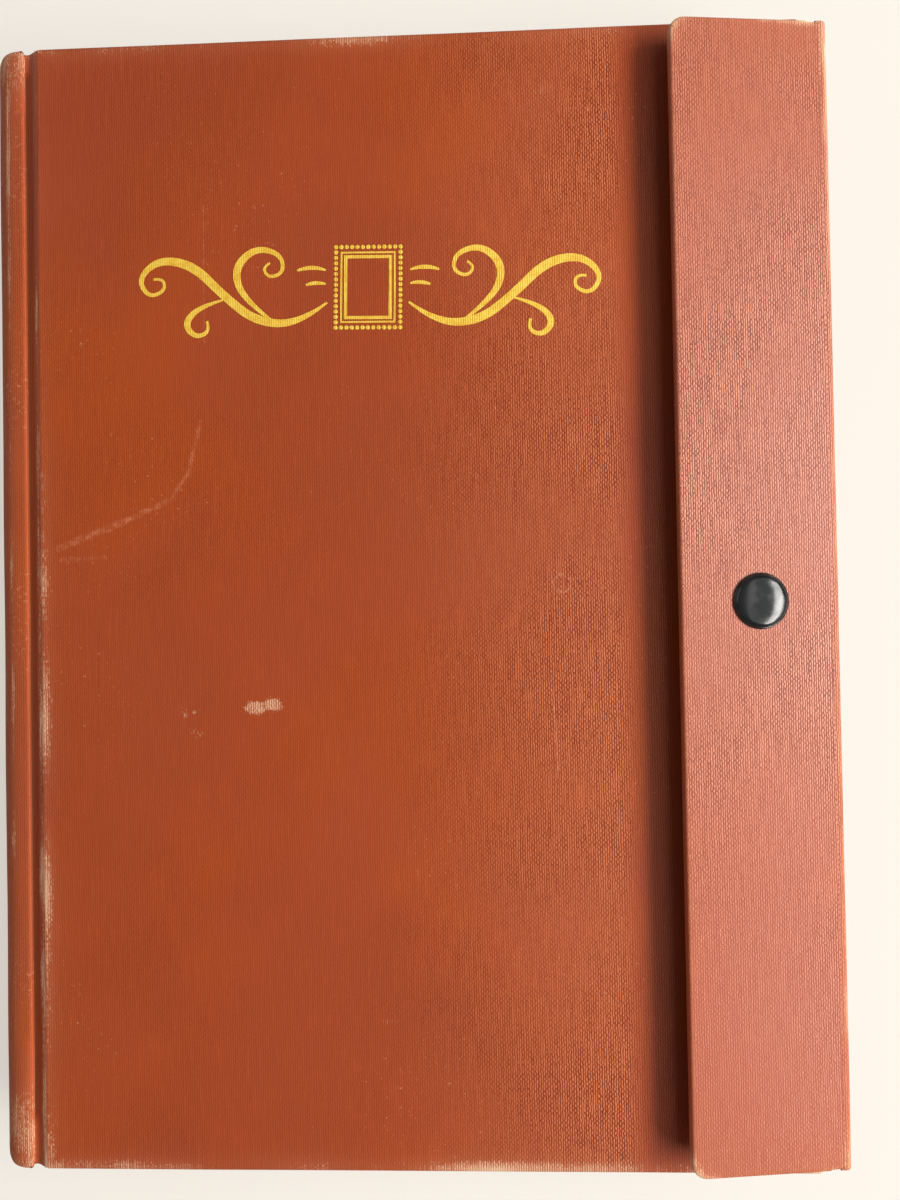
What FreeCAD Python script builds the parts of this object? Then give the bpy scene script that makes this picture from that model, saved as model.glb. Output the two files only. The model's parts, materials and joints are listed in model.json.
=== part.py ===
# Stamp album: cloth-covered case with a snap flap, and a single section of linen-hinged stock leaves.
# It lies on its back cover: +Z up, +Y to the head, spine at -X, fore edge at +X, millimetres.
import FreeCAD, Part
import os
import re
import Sketcher

doc = FreeCAD.newDocument("stamp_album")

# Driving dimensions.
SIZES = {
    "cover_height": 262, "cover_width": 178.5, "album_thick": 25,
    "cloth_thick": 0.4, "board_thick": 2.2, "paper_thick": 0.25,
    "turn_in": 14, "paper_margin": 4, "edge_round": 0.5, "cover_corner": 1.2,
    "joint_gap": 2.5, "joint_depth": 0.9,
    "spine_depth": 8.9, "spine_shoulder": 7.4, "spine_drop": 0.5, "spine_card": 1.2,
    "fore_gap": 1.25, "fold_round": 1.6,
    "flap_lift": 3.2, "flap_tilt": 6.5, "flap_width": 36, "flap_height": 256,
    "flap_board": 1.6, "flap_corner": 3.5, "flap_gap": 4.5,
    "leaf_count": 8, "leaf_pitch": 2.2, "card_thick": 0.8, "card_height": 252,
    "card_margin": 4, "card_corner": 3,
    "hinge_reach": 8, "hinge_tab": 7, "linen_thick": 0.2, "fold_core": 1.5, "core_gap": 0.15,
    "guard_thick": 0.6, "guard_width": 8, "thread_radius": 0.35, "stitch_length": 34, "stitch_pitch": 46,
    "stitch_count": 5,
    "pocket_count": 9, "pocket_height": 24, "pocket_pitch": 27, "pocket_slit": 0.15,
    "pocket_film": 0.12, "pocket_foot": 2, "pocket_inset": 9.5, "pocket_end": 3,
    "veil_thick": 0.1, "veil_rise": 0.4, "veil_foot": 3, "veil_inset": 1.5,
    "snap_reach": 18, "snap_drop": 2.2, "cap_radius": 6.25, "cap_rise": 1.9, "cap_rim": 0.75, "cap_step": 0.5,
    "post_radius": 1.3, "post_room": 0.2,
    "socket_radius": 4.6, "socket_height": 1.7, "socket_wall": 1.7, "socket_roof": 0.25,
    "ring_radius": 2.4, "ring_wire": 0.25, "ring_rise": 0.3,
    "stud_flange": 4, "flange_thick": 0.25, "stud_neck": 1.7, "stud_head": 2.2, "stud_height": 2.05,
    "stud_flare": 0.5, "stud_crown": 0.3, "stud_top": 1.5, "neck_height": 1,
    "rivet_flange": 4, "rivet_thick": 0.4,
}

# Places and sizes that follow from the driving dimensions.
PLACES = {
    "fore_depth": "fore_gap + paper_thick + 2 * cloth_thick + board_thick",
    "overall_width": "spine_depth + joint_gap + cover_width + fore_depth",
    "half_height": "cover_height / 2",
    "flap_half": "flap_height / 2",
    "spine_left": "-overall_width / 2",
    "chord_x": "spine_left + spine_depth",
    "board_left": "chord_x + joint_gap",
    "joint_x": "chord_x + joint_gap / 2",
    "cover_right": "board_left + cover_width",
    "strip_out": "overall_width / 2",
    "strip_face": "strip_out - cloth_thick - board_thick",
    "cover_skin": "board_thick + 2 * cloth_thick",
    "flap_skin": "flap_board + cloth_thick * 3 / 2",
    "flap_under": "flap_skin + paper_thick",
    "flap_axis_x": "strip_out - cloth_thick / 2",
    "flap_axis_z": "album_thick + flap_lift - cloth_thick / 2",
    "strip_top": "album_thick + flap_lift - fold_round",
    "leaf_fold_x": "joint_x + (album_thick - cloth_thick) / 2",
    "leaf_fold_z": "album_thick / 2",
    "card_end": "cover_right - card_margin - leaf_fold_x",
    "spine_wall": "cloth_thick + spine_card",
    "shoulder_x": "spine_left + spine_shoulder",
    "spine_top": "album_thick - spine_drop",
    "groove_radius": "(joint_gap * joint_gap / 4 + joint_depth * joint_depth) / (2 * joint_depth)",
    "dome_foot": "cap_radius - 2 * cap_step",
    "dome_rise": "cap_rise - cap_rim",
    "dome_radius": "(dome_foot * dome_foot + dome_rise * dome_rise) / (2 * dome_rise)",
    "stud_x": "flap_axis_x - snap_reach * cos(flap_tilt) - (flap_under + socket_height / 2) * sin(flap_tilt)",
    "pocket_start": "-(pocket_count - 1) / 2 * pocket_pitch - pocket_height / 2",
}


def make_sheet(name, cells):
    """Write a sheet of named cells, each of which may use the ones above it."""
    sheet = doc.addObject("Spreadsheet::Sheet", name)
    for row, (alias, content) in enumerate(cells.items(), start=1):
        sheet.set(f"A{row}", alias)
        sheet.set(f"B{row}", content)
        sheet.setAlias(f"B{row}", alias)
        doc.recompute()
    return sheet


def named(text):
    """Write an expression's plain names as cells of the two sheets."""
    def cell(match):
        word = match.group(0)
        if word in SIZES:
            return f"sizes.{word}"
        return f"places.{word}" if word in PLACES else word
    return re.sub(r"[a-z_]+[a-z]", cell, str(text))


sizes = make_sheet("sizes", {alias: str(size) for alias, size in SIZES.items()})
places = make_sheet("places", {
    alias: "=" + named(formula).replace("places.", "") for alias, formula in PLACES.items()})


def value(text):
    result = sizes.evalExpression(named(text))
    return float(getattr(result, "Value", result))


def bind(thing, prop, text):
    thing.setExpression(prop, named(text))


ORIGIN = {"x": "0", "z": "0", "tilt": "0"}
FLAP = {"x": "flap_axis_x", "z": "flap_axis_z", "tilt": "flap_tilt"}
pieces = []


def keep(thing, label):
    thing.Label = label
    pieces.append(thing)
    return thing


def place(thing, frame, x="0", y="0", z="0"):
    """Put a thing's corner at a point of a frame that is turned about Y by the frame's tilt."""
    thing.Placement = FreeCAD.Placement(
        FreeCAD.Vector(), FreeCAD.Rotation(FreeCAD.Vector(0, 1, 0), value(frame["tilt"])))
    turn = frame["tilt"]
    bind(thing, "Placement.Rotation.Angle", turn)
    bind(thing, "Placement.Base.x", f"{frame['x']} + ({x}) * cos({turn}) + ({z}) * sin({turn})")
    bind(thing, "Placement.Base.y", y)
    bind(thing, "Placement.Base.z", f"{frame['z']} - ({x}) * sin({turn}) + ({z}) * cos({turn})")


def box(name, x, y, z, frame=ORIGIN):
    """A block between two expressions along each axis."""
    block = doc.addObject("Part::Box", name)
    for prop, (low, high) in {"Length": x, "Width": y, "Height": z}.items():
        bind(block, prop, f"({high}) - ({low})")
    place(block, frame, x[0], y[0], z[0])
    return block


def rod(name, radius, z, x, y, frame=ORIGIN):
    """An upright cylinder between two heights."""
    cylinder = doc.addObject("Part::Cylinder", name)
    bind(cylinder, "Radius", radius)
    bind(cylinder, "Height", f"({z[1]}) - ({z[0]})")
    place(cylinder, frame, x, y, z[0])
    return cylinder


def cut(name, base, *tools):
    for count, tool in enumerate(tools):
        step = doc.addObject("Part::Cut", f"{name}_{count}")
        step.Base = base
        step.Tool = tool
        base = step
    return base


def fuse(name, *shapes):
    joined = doc.addObject("Part::MultiFuse", name)
    joined.Shapes = list(shapes)
    return joined


def rounded(name, base, radius, wanted):
    """Round the edges whose middle, in the base's own frame, passes the test."""
    doc.recompute()
    inverse = base.Placement.inverse()
    picks = []
    for number, edge in enumerate(base.Shape.Edges, start=1):
        ends = [inverse.multVec(v.Point) for v in edge.Vertexes]
        if wanted((ends[0] + ends[1]) * 0.5, ends[1] - ends[0]):
            picks.append((number, value(radius), value(radius)))
    fillet = doc.addObject("Part::Fillet", name)
    fillet.Base = base
    fillet.Edges = picks
    return fillet


def upright_at(*corners):
    """Pick upright edges at the given corners of a block in its own frame."""
    near = 1e-4

    def test(middle, along):
        return abs(along.z) > near and any(
            abs(middle.x - x) < near and abs(middle.y - y) < near for x, y in corners)
    return test


def draw(sketch, points):
    """Draw a closed outline: each point is (across, up) or (across, up, radius of the arc to the next)."""
    spots = [FreeCAD.Vector(value(p[0]), value(p[1]), 0) for p in points]
    for index, point in enumerate(points):
        start, end = spots[index], spots[(index + 1) % len(spots)]
        if len(point) == 2:
            sketch.addGeometry(Part.LineSegment(start, end))
            continue
        radius = value(point[2])
        chord = end - start
        middle = (start + end) * 0.5
        left = FreeCAD.Vector(-chord.y, chord.x, 0).normalize()
        reach = max(radius * radius - chord.Length ** 2 / 4, 0) ** 0.5
        side = 1 if radius > 0 else -1
        centre = middle + left * reach * side
        on_arc = middle - left * radius
        if reach > 1e-9:
            on_arc = centre + (middle - centre).normalize() * abs(radius)
        sketch.addGeometry(Part.Arc(start, on_arc, end))
    # An arc is stored counter-clockwise, so a clockwise one starts where its outline leaves it.
    first = [1 if len(p) == 2 or value(p[2]) > 0 else 2 for p in points]
    for index, point in enumerate(points):
        following = (index + 1) % len(points)
        sketch.addConstraint(Sketcher.Constraint(
            "Coincident", index, 3 - first[index], following, first[following]))
        for kind, place_text in (("DistanceX", point[0]), ("DistanceY", point[1])):
            number = sketch.addConstraint(Sketcher.Constraint(
                kind, -1, 1, index, first[index], value(place_text)))
            bind(sketch, f"Constraints[{number}]", place_text)
        if len(point) == 3:
            number = sketch.addConstraint(Sketcher.Constraint("Radius", index, abs(value(point[2]))))
            bind(sketch, f"Constraints[{number}]", f"abs({point[2]})")


def body_with_sketch(label, plane, points, frame=ORIGIN, at=("0", "0", "0")):
    body = doc.addObject("PartDesign::Body", label)
    body.AllowCompound = True
    place(body, frame, *at)
    add_sketch(body, plane, points)
    return body


def add_sketch(body, plane, points):
    sketch = body.newObject("Sketcher::SketchObject", body.Name + "_sketch")
    support = [f for f in body.Origin.OriginFeatures if f.Role == plane][0]
    sketch.AttachmentSupport = [(support, "")]
    sketch.MapMode = "FlatFace"
    draw(sketch, points)
    doc.recompute()
    return sketch


def extrude(body, kind, length):
    """Pad or pocket a body's last sketch to both sides of its plane."""
    feature = body.newObject("PartDesign::" + kind, body.Name + "_" + kind.lower())
    feature.Profile = body.Group[-2]
    feature.SideType = "Symmetric"
    bind(feature, "Length", length)
    doc.recompute()
    return feature


def prism(label, points, length, frame=ORIGIN, at=("0", "0", "0"), plane="XZ_Plane"):
    body = body_with_sketch(label, plane, points, frame, at)
    extrude(body, "Pad", length)
    return body


def turned(label, points, frame=ORIGIN, at=("0", "0", "0")):
    """A piece turned about its own upright axis."""
    body = body_with_sketch(label, "XZ_Plane", points, frame, at)
    sketch = body.Group[-1]
    spin = body.newObject("PartDesign::Revolution", label + "_turn")
    spin.Profile = sketch
    spin.ReferenceAxis = (sketch, ["V_Axis"])
    spin.Angle = 360
    doc.recompute()
    return body


def inset(text, by):
    return f"-({text}) + {by}", f"{text} - {by}"


def both(text):
    return f"-({text})", text


def endpaper(label, x, y, z, window_x, window_y, window_z, frame=ORIGIN):
    """A sheet pasted over the turn-ins, filled out to the board inside them."""
    sheet = box(label + "_sheet", x, y, z, frame)
    filling = box(label + "_filling", window_x, window_y, window_z, frame)
    return keep(fuse(label + "_paper", sheet, filling), label)


def back_cover():
    x = ("board_left", "cover_right")
    board_y = inset("half_height", "cloth_thick")
    window_y = inset("half_height", "turn_in")
    inner = ("cloth_thick + board_thick", "cover_skin")
    board = box("back_board_slab", x, board_y, ("cloth_thick", "cloth_thick + board_thick"))
    keep(board, "back_board")
    outer = rounded("back_cloth_outer", box("back_cloth_block", x, both("half_height"), ("0", "cover_skin")),
                    "edge_round", lambda middle, along: abs(along.x) > 1 and middle.z < 1e-4)
    window = box("back_cloth_window", x, window_y, inner)
    keep(cut("back_cloth", outer, board, window), "back_cover_cloth")
    endpaper("back_endpaper", ("board_left", "cover_right"), inset("half_height", "paper_margin"),
             ("cover_skin", "cover_skin + paper_thick"), x, window_y, inner)


def front_cover():
    top = "album_thick"
    x = ("board_left", "cover_right")
    board_x = ("board_left", "cover_right - cloth_thick")
    board_y = inset("half_height", "cloth_thick")
    board_z = (f"{top} - cloth_thick - board_thick", f"{top} - cloth_thick")
    skin_z = (f"{top} - cover_skin", top)
    turn_z = (skin_z[0], board_z[0])
    window_x = ("board_left", "cover_right - turn_in")
    window_y = inset("half_height", "turn_in")
    width, height = value("cover_width"), value("cover_height")
    slab = box("front_board_slab", board_x, board_y, board_z)
    bare = rounded("front_board_bare", slab, "cover_corner - cloth_thick", upright_at(
        (width - value("cloth_thick"), 0), (width - value("cloth_thick"), height - 2 * value("cloth_thick"))))
    hole = rod("front_rivet_hole", "post_radius + post_room", (skin_z[0], top), "stud_x", "-snap_drop")
    seat_z = (board_z[0], f"{board_z[0]} + rivet_thick")
    seat = rod("front_rivet_seat", "rivet_flange + post_room", seat_z, "stud_x", "-snap_drop")
    keep(cut("front_board_cut", bare, hole, seat), "front_board")
    block = box("front_cloth_block", x, both("half_height"), skin_z)
    corners = rounded("front_cloth_corners", block, "cover_corner", upright_at((width, 0), (width, height)))
    outer = rounded("front_cloth_outer", corners, "edge_round", lambda middle, along: (
        abs(middle.z - value(top)) < 1e-4 and abs(middle.x - value("board_left")) > 1e-4))
    window = box("front_cloth_window", window_x, window_y, turn_z)
    keep(cut("front_cloth", outer, bare, window, hole), "front_cover_cloth")
    paper_x = ("board_left", "cover_right - paper_margin")
    paper_z = (f"{skin_z[0]} - paper_thick", skin_z[0])
    endpaper("front_endpaper", paper_x, inset("half_height", "paper_margin"), paper_z,
             window_x, window_y, turn_z)


def fore_edge():
    """The upright strip that joins the back cover to the flap round the fore edge of the leaves."""
    z = ("fold_round", "strip_top")
    board_x = ("strip_face", "strip_out - cloth_thick")
    board_y = inset("flap_half", "cloth_thick")
    window_y = inset("flap_half", "turn_in")
    turn_x = ("strip_face - cloth_thick", "strip_face")
    board = box("fore_board_slab", board_x, board_y, z)
    keep(board, "fore_edge_board")
    block = box("fore_cloth_block", (turn_x[0], "strip_out"), both("flap_half"), z)
    outer = rounded("fore_cloth_outer", block, "edge_round", lambda middle, along: (
        abs(along.z) > 1 and middle.x > value("board_thick")))
    window = box("fore_cloth_window", turn_x, window_y, z)
    keep(cut("fore_cloth", outer, board, window), "fore_edge_cloth")
    paper_x = (f"{turn_x[0]} - paper_thick", turn_x[0])
    endpaper("fore_edge_lining", paper_x, inset("flap_half", "paper_margin"), z, turn_x, window_y, z)


def flap():
    skin_z = ("-flap_skin", "cloth_thick / 2")
    board_z = ("-flap_board - cloth_thick / 2", "-cloth_thick / 2")
    turn_z = (skin_z[0], board_z[0])
    x = ("-flap_width", "-flap_gap")
    board_x = ("-flap_width + cloth_thick", "-flap_gap")
    window_x = ("-flap_width + turn_in / 2", "-flap_gap")
    window_y = inset("flap_half", "turn_in")
    hole = rod("flap_post_hole", "post_radius + post_room",
               ("-flap_under - socket_height", "cap_rise"), "-snap_reach", "-snap_drop", FLAP)
    slab = box("flap_board_slab", board_x, inset("flap_half", "cloth_thick"), board_z, FLAP)
    inner_height = value("flap_height - 2 * cloth_thick")
    bare = rounded("flap_board_bare", slab, "flap_corner - cloth_thick",
                   upright_at((0, 0), (0, inner_height)))
    keep(cut("flap_board_cut", bare, hole), "flap_board")
    block = box("flap_cloth_block", x, both("flap_half"), skin_z, FLAP)
    corners = rounded("flap_cloth_corners", block, "flap_corner",
                      upright_at((0, 0), (0, value("flap_height"))))
    corners_frame = FreeCAD.Placement(
        FreeCAD.Vector(value("flap_axis_x"), 0, value("flap_axis_z")), block.Placement.Rotation).inverse()

    def top_rim(middle, along):
        spot = corners_frame.multVec(middle)
        return abs(spot.z - value(skin_z[1])) < 1e-4 and abs(spot.x - value(x[1])) > 1e-4
    outer = rounded("flap_cloth_outer", corners, "edge_round", top_rim)
    window = box("flap_cloth_window", window_x, window_y, turn_z, FLAP)
    keep(cut("flap_cloth_cut", outer, bare, window, hole), "flap_cloth")
    sheet = box("flap_lining_sheet", ("-flap_width + paper_margin", "-flap_gap"),
                inset("flap_half", "paper_margin"), ("-flap_under", "-flap_skin"), FLAP)
    filling = box("flap_lining_filling", window_x, window_y, turn_z, FLAP)
    keep(cut("flap_lining_cut", fuse("flap_lining_paper", sheet, filling), hole), "flap_lining")


def spine_outline(wall, depth):
    """The spine's section: round shoulders and a flat back, from one wall depth to another."""
    def side(inward):
        radius = f"(spine_shoulder - {inward})"
        left, top, low = f"(spine_left + {inward})", f"(spine_top - {inward})", f"(spine_drop + {inward})"
        return [("chord_x", top), ("shoulder_x", top, radius), (left, f"{top} - {radius}"),
                (left, f"{low} + {radius}", radius), ("shoulder_x", low), ("chord_x", low)]
    inner = [(p[0], p[1]) for p in reversed(side(f"({wall} + {depth})"))]
    radius = f"-(spine_shoulder - {wall} - {depth})"
    inner[1] = inner[1] + (radius,)
    inner[3] = inner[3] + (radius,)
    return side(wall) + inner


def spine():
    card = spine_outline("cloth_thick", "spine_card")
    keep(prism("spine_card_bent", card, "cover_height - 2 * cloth_thick"), "spine_liner")
    cloth = prism("spine_cloth_bent", spine_outline("0", "2 * cloth_thick + spine_card"), "cover_height")
    for wall, depth, length in (("cloth_thick", "spine_card", "cover_height - 2 * cloth_thick"),
                                ("spine_wall", "cloth_thick", "cover_height - 2 * turn_in")):
        add_sketch(cloth, "XZ_Plane", spine_outline(wall, depth))
        extrude(cloth, "Pocket", length)
    keep(cloth, "spine_cloth")
    back = "(spine_left + spine_wall)"
    root = f"{back} + linen_thick"
    tip = "leaf_fold_x - fold_core"
    low, high = "leaf_fold_z - guard_width / 2", "leaf_fold_z + guard_width / 2"
    web_low, web_high = "leaf_fold_z - guard_thick / 2", "leaf_fold_z + guard_thick / 2"
    keep(prism("spine_guard_bent", [
        (back, high), (back, low), (root, low), (root, web_low), (tip, web_low),
        (tip, web_high), (root, web_high), (root, high)], "cover_height - 2 * turn_in - paper_margin"),
        "spine_guard")
    core = doc.addObject("Part::Cylinder", "fold_core_roll")
    bind(core, "Radius", "fold_core")
    bind(core, "Height", "card_height")
    lie_along(core, "leaf_fold_x", "card_height / 2", "leaf_fold_z")
    stitches = []
    for count in range(int(value("stitch_count"))):
        stitch = doc.addObject("Part::Cylinder", f"stitch_{count + 1}")
        bind(stitch, "Radius", "thread_radius")
        bind(stitch, "Height", "stitch_length")
        middle = f"({count} - (stitch_count - 1) / 2) * stitch_pitch + stitch_length / 2"
        lie_along(stitch, "leaf_fold_x + fold_core - thread_radius * 0.7", middle, "leaf_fold_z")
        stitches.append(stitch)
    thread = doc.addObject("Part::Compound", "thread_run")
    thread.Links = stitches
    keep(thread, "sewing_thread")
    # The stitches are drawn into the fold, so that the leaves beside them lie close.
    keep(cut("fold_core_sewn", core, thread), "sewn_fold")


def lie_along(cylinder, x, y, z):
    """Lay a cylinder along Y, from its head end down."""
    cylinder.Placement = FreeCAD.Placement(
        FreeCAD.Vector(), FreeCAD.Rotation(FreeCAD.Vector(1, 0, 0), 90))
    for prop, text in {"x": x, "y": y, "z": z}.items():
        bind(cylinder, "Placement.Base." + prop, text)


def groove_cloth(label, spine_z, board_z):
    """The strip of cloth pressed into the groove between the spine and a cover."""
    inward = "-cloth_thick" if label.startswith("front") else "cloth_thick"
    bulge = "groove_radius" if label.startswith("front") else "-groove_radius"
    keep(prism(label + "_strip", [
        ("chord_x", spine_z, bulge), ("board_left", board_z),
        ("board_left", f"{board_z} + {inward}", f"-({bulge})"), ("chord_x", f"{spine_z} + {inward}")],
        "cover_height - 2 * cloth_thick"), label)


def fold_cloths():
    groove_cloth("front_joint_cloth", "spine_top", "album_thick")
    groove_cloth("back_joint_cloth", "spine_drop", "0")
    inner_round = "(fold_round - cloth_thick)"
    keep(prism("fore_fold_strip", [
        ("cover_right", "0"), ("strip_out - fold_round", "0", "fold_round"), ("strip_out", "fold_round"),
        ("strip_out - cloth_thick", "fold_round", f"-{inner_round}"),
        ("strip_out - fold_round", "cloth_thick"),
        ("cover_right", "cloth_thick")], "flap_height"), "fore_edge_fold_cloth")
    # The upper fold turns from upright into the flap's slope, on the flap's own frame.
    out, drop = "cloth_thick / 2", "(fold_round - cloth_thick / 2)"
    foot = [f"{out} * cos(flap_tilt) + {drop} * sin(flap_tilt)",
            f"{out} * sin(flap_tilt) - {drop} * cos(flap_tilt)"]
    heel = [f"-{out} * cos(flap_tilt) + {drop} * sin(flap_tilt)",
            f"-{out} * sin(flap_tilt) - {drop} * cos(flap_tilt)"]
    keep(prism("flap_fold_strip", [
        (foot[0], foot[1], "fold_round"), ("-fold_round", out), ("-flap_gap", out), ("-flap_gap", f"-{out}"),
        ("-fold_round", f"-{out}", f"-{inner_round}"), (heel[0], heel[1])],
        "flap_height", FLAP), "flap_fold_cloth")


def snap():
    on_flap = ("-snap_reach", "-snap_drop", "0")
    face = "cloth_thick / 2"
    keep(turned("snap_cap_shell", [
        ("0", "-flap_under"), ("post_radius", "-flap_under"), ("post_radius", face), ("cap_radius", face),
        ("cap_radius", f"{face} + cap_rim"), ("cap_radius - cap_step", f"{face} + cap_rim"),
        ("cap_radius - cap_step", f"{face} + cap_rim / 2"), ("dome_foot", f"{face} + cap_rim / 2"),
        ("dome_foot", f"{face} + cap_rim", "dome_radius"),
        ("0", f"{face} + cap_rise")], FLAP, on_flap), "snap_cap")
    low = "-flap_under - socket_height"
    keep(turned("snap_socket_shell", [
        ("socket_radius - socket_wall", low), ("socket_radius", low), ("socket_radius", "-flap_under"),
        ("0", "-flap_under"), ("0", "-flap_under - socket_roof"),
        ("socket_radius - socket_wall", "-flap_under - socket_roof")], FLAP, on_flap), "snap_socket")
    wire = [(1, 0), (0.5, 1), (-0.5, 1), (-1, 0), (-0.5, -1), (0.5, -1)]
    keep(turned("snap_ring_wire", [
        (f"ring_radius + {across} * ring_wire", f"{low} + ring_rise + {up} * ring_wire * sqrt(3) / 2")
        for across, up in wire], FLAP, on_flap), "snap_spring_ring")
    on_cover = ("stud_x", "-snap_drop", "album_thick")
    crown = "stud_height - stud_crown"
    keep(turned("snap_stud_shell", [
        ("post_radius", "0"), ("stud_flange", "0"), ("stud_flange", "flange_thick"),
        ("stud_neck", "flange_thick"), ("stud_neck", f"{crown} - stud_flare"),
        ("stud_head", crown), ("stud_top", "stud_height"),
        ("0", "stud_height"), ("0", "neck_height"), ("post_radius", "neck_height")],
        ORIGIN, on_cover), "snap_stud")
    inner = "-cloth_thick - board_thick"
    keep(turned("snap_rivet_shell", [
        ("0", inner), ("rivet_flange", inner), ("rivet_flange", f"{inner} + rivet_thick"),
        ("post_radius", f"{inner} + rivet_thick"), ("post_radius", "neck_height"), ("0", "neck_height")],
        ORIGIN, on_cover), "snap_rivet")


def leaf(number):
    """One stock leaf: a card on a linen hinge, clear pockets on both sides and a glassine sheet above."""
    name = f"leaf_{number}"
    level = f"((leaf_count + 1) / 2 - {number}) * leaf_pitch"
    at = ("leaf_fold_x", "0", f"leaf_fold_z + {level}")
    half = "card_thick / 2"
    card = box(name + "_slab", (f"{at[0]} + hinge_reach", f"{at[0]} + card_end"), both("card_height / 2"),
               (f"{at[2]} - {half}", f"{at[2]} + {half}"))
    width, height = value("card_end - hinge_reach"), value("card_height")
    sheet = rounded(name + "_sheet", card, "card_corner", upright_at((width, 0), (width, height)))
    keep(sheet, name + "_card")
    # The linen leaves the sewn fold, and is pasted to the side of the card that faces
    # the middle of the section.
    above = number <= value("leaf_count") / 2
    face = f"({level} {'-' if above else '+'} ({half} + linen_thick / 2))"
    slant = f"sqrt(hinge_reach * hinge_reach + {face} * {face})"
    root = f"(fold_core + core_gap) * hinge_reach / {slant}"
    root_z = f"(fold_core + core_gap) * {face} / {slant}"
    low, high = "- linen_thick / 2", "+ linen_thick / 2"
    tab = "hinge_reach + hinge_tab"
    keep(prism(name + "_linen", [
        (root, f"{root_z} {low}"), ("hinge_reach", f"{face} {low}"), (tab, f"{face} {low}"),
        (tab, f"{face} {high}"), ("hinge_reach", f"{face} {high}"), (root, f"{root_z} {high}")],
        "card_height - 2 * card_margin", ORIGIN, ("leaf_fold_x", "0", "leaf_fold_z")), name + "_hinge")
    keep(pockets(name, at), name + "_pockets")
    veil_low = f"{half} + veil_rise"
    start, foot = "hinge_reach + veil_inset", "hinge_reach + veil_inset + veil_foot"
    seat = f"{half} + linen_thick" if not above else half
    keep(prism(name + "_veil", [
        (start, seat), (foot, seat), (foot, veil_low), ("card_end - veil_inset", veil_low),
        ("card_end - veil_inset", f"{veil_low} + veil_thick"), (start, f"{veil_low} + veil_thick")],
        "card_height - 2 * veil_inset", ORIGIN, at), name + "_interleaf")


def pockets(name, at):
    """Clear strips, each pasted down along its lower edge, in a row on both faces of the card."""
    half = "card_thick / 2"
    film_low = f"{half} + pocket_slit"
    film_high = f"{film_low} + pocket_film"
    start = "pocket_start"
    middle = "(hinge_reach + pocket_inset + card_end - pocket_end) / 2"
    body = body_with_sketch(name + "_strips", "YZ_Plane", [
        (start, half), (f"{start} + pocket_foot", half), (f"{start} + pocket_foot", film_low),
        (f"{start} + pocket_height", film_low), (f"{start} + pocket_height", film_high), (start, film_high)],
        ORIGIN, (f"{at[0]} + {middle}", at[1], at[2]))
    pad = extrude(body, "Pad", "card_end - pocket_end - hinge_reach - pocket_inset")
    row = body.newObject("PartDesign::LinearPattern", name + "_row")
    row.Originals = [pad]
    row.Direction = (body.Group[0], ["H_Axis"])
    bind(row, "Length", "(pocket_count - 1) * pocket_pitch")
    row.Occurrences = int(value("pocket_count"))
    body.Tip = row
    doc.recompute()
    mirror = body.newObject("PartDesign::Mirrored", name + "_verso")
    mirror.TransformMode = "Whole shape"
    flat = [f for f in body.Origin.OriginFeatures if f.Role == "XY_Plane"][0]
    mirror.MirrorPlane = (flat, [""])
    body.Tip = mirror
    return body


def check_and_write():
    doc.recompute()
    for thing in doc.Objects:
        if {"Invalid", "Error"} & set(thing.State):
            raise RuntimeError(f"{thing.Name} failed: {thing.State}")
    os.makedirs("parts", exist_ok=True)
    for piece in pieces:
        shape = piece.Shape
        if shape.isNull() or not shape.isValid() or not shape.Solids:
            raise RuntimeError(f"{piece.Label} has no sound solid")
        shape.exportStep(f"parts/{piece.Label}.step")
        print(f"{piece.Label}: {len(shape.Solids)} solids, {shape.Volume:.1f} mm3")


back_cover()
front_cover()
fore_edge()
flap()
spine()
fold_cloths()
snap()
for leaf_number in range(1, int(value("leaf_count")) + 1):
    leaf(leaf_number)
check_and_write()
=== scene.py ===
import bmesh
import bpy
import json
from math import atan2, cos, degrees, dist, exp, hypot, pi, radians, sin
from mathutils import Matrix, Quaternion, Vector, noise


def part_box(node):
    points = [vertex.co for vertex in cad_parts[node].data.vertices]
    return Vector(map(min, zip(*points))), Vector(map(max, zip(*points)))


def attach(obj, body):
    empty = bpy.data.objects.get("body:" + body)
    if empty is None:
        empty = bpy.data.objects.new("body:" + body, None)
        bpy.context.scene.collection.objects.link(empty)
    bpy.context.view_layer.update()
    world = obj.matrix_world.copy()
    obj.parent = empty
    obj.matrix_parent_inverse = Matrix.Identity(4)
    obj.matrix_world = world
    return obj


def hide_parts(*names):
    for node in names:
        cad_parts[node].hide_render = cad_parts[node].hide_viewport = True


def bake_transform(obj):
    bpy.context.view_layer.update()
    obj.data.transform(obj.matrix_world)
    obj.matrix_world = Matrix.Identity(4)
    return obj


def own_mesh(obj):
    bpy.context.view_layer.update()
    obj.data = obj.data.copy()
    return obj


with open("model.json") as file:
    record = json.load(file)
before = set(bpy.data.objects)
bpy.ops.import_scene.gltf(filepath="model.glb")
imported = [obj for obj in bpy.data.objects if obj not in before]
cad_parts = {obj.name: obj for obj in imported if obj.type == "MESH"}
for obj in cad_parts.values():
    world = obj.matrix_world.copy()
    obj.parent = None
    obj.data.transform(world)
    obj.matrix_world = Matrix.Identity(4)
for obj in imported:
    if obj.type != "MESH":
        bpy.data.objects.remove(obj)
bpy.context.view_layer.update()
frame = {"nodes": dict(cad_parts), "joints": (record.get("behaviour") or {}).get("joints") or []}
scene = bpy.context.scene
mm = 0.001


def cad(node):  # a node's box in millimetres
    low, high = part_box(node)
    return low / mm, high / mm


jointAt = {j["name"]: Vector(j["pos_m"]) / mm for j in frame["joints"]}
flapTilt = radians(90 - next(j["range_deg"][1] for j in frame["joints"] if j["name"] == "flap_fold"))


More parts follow.
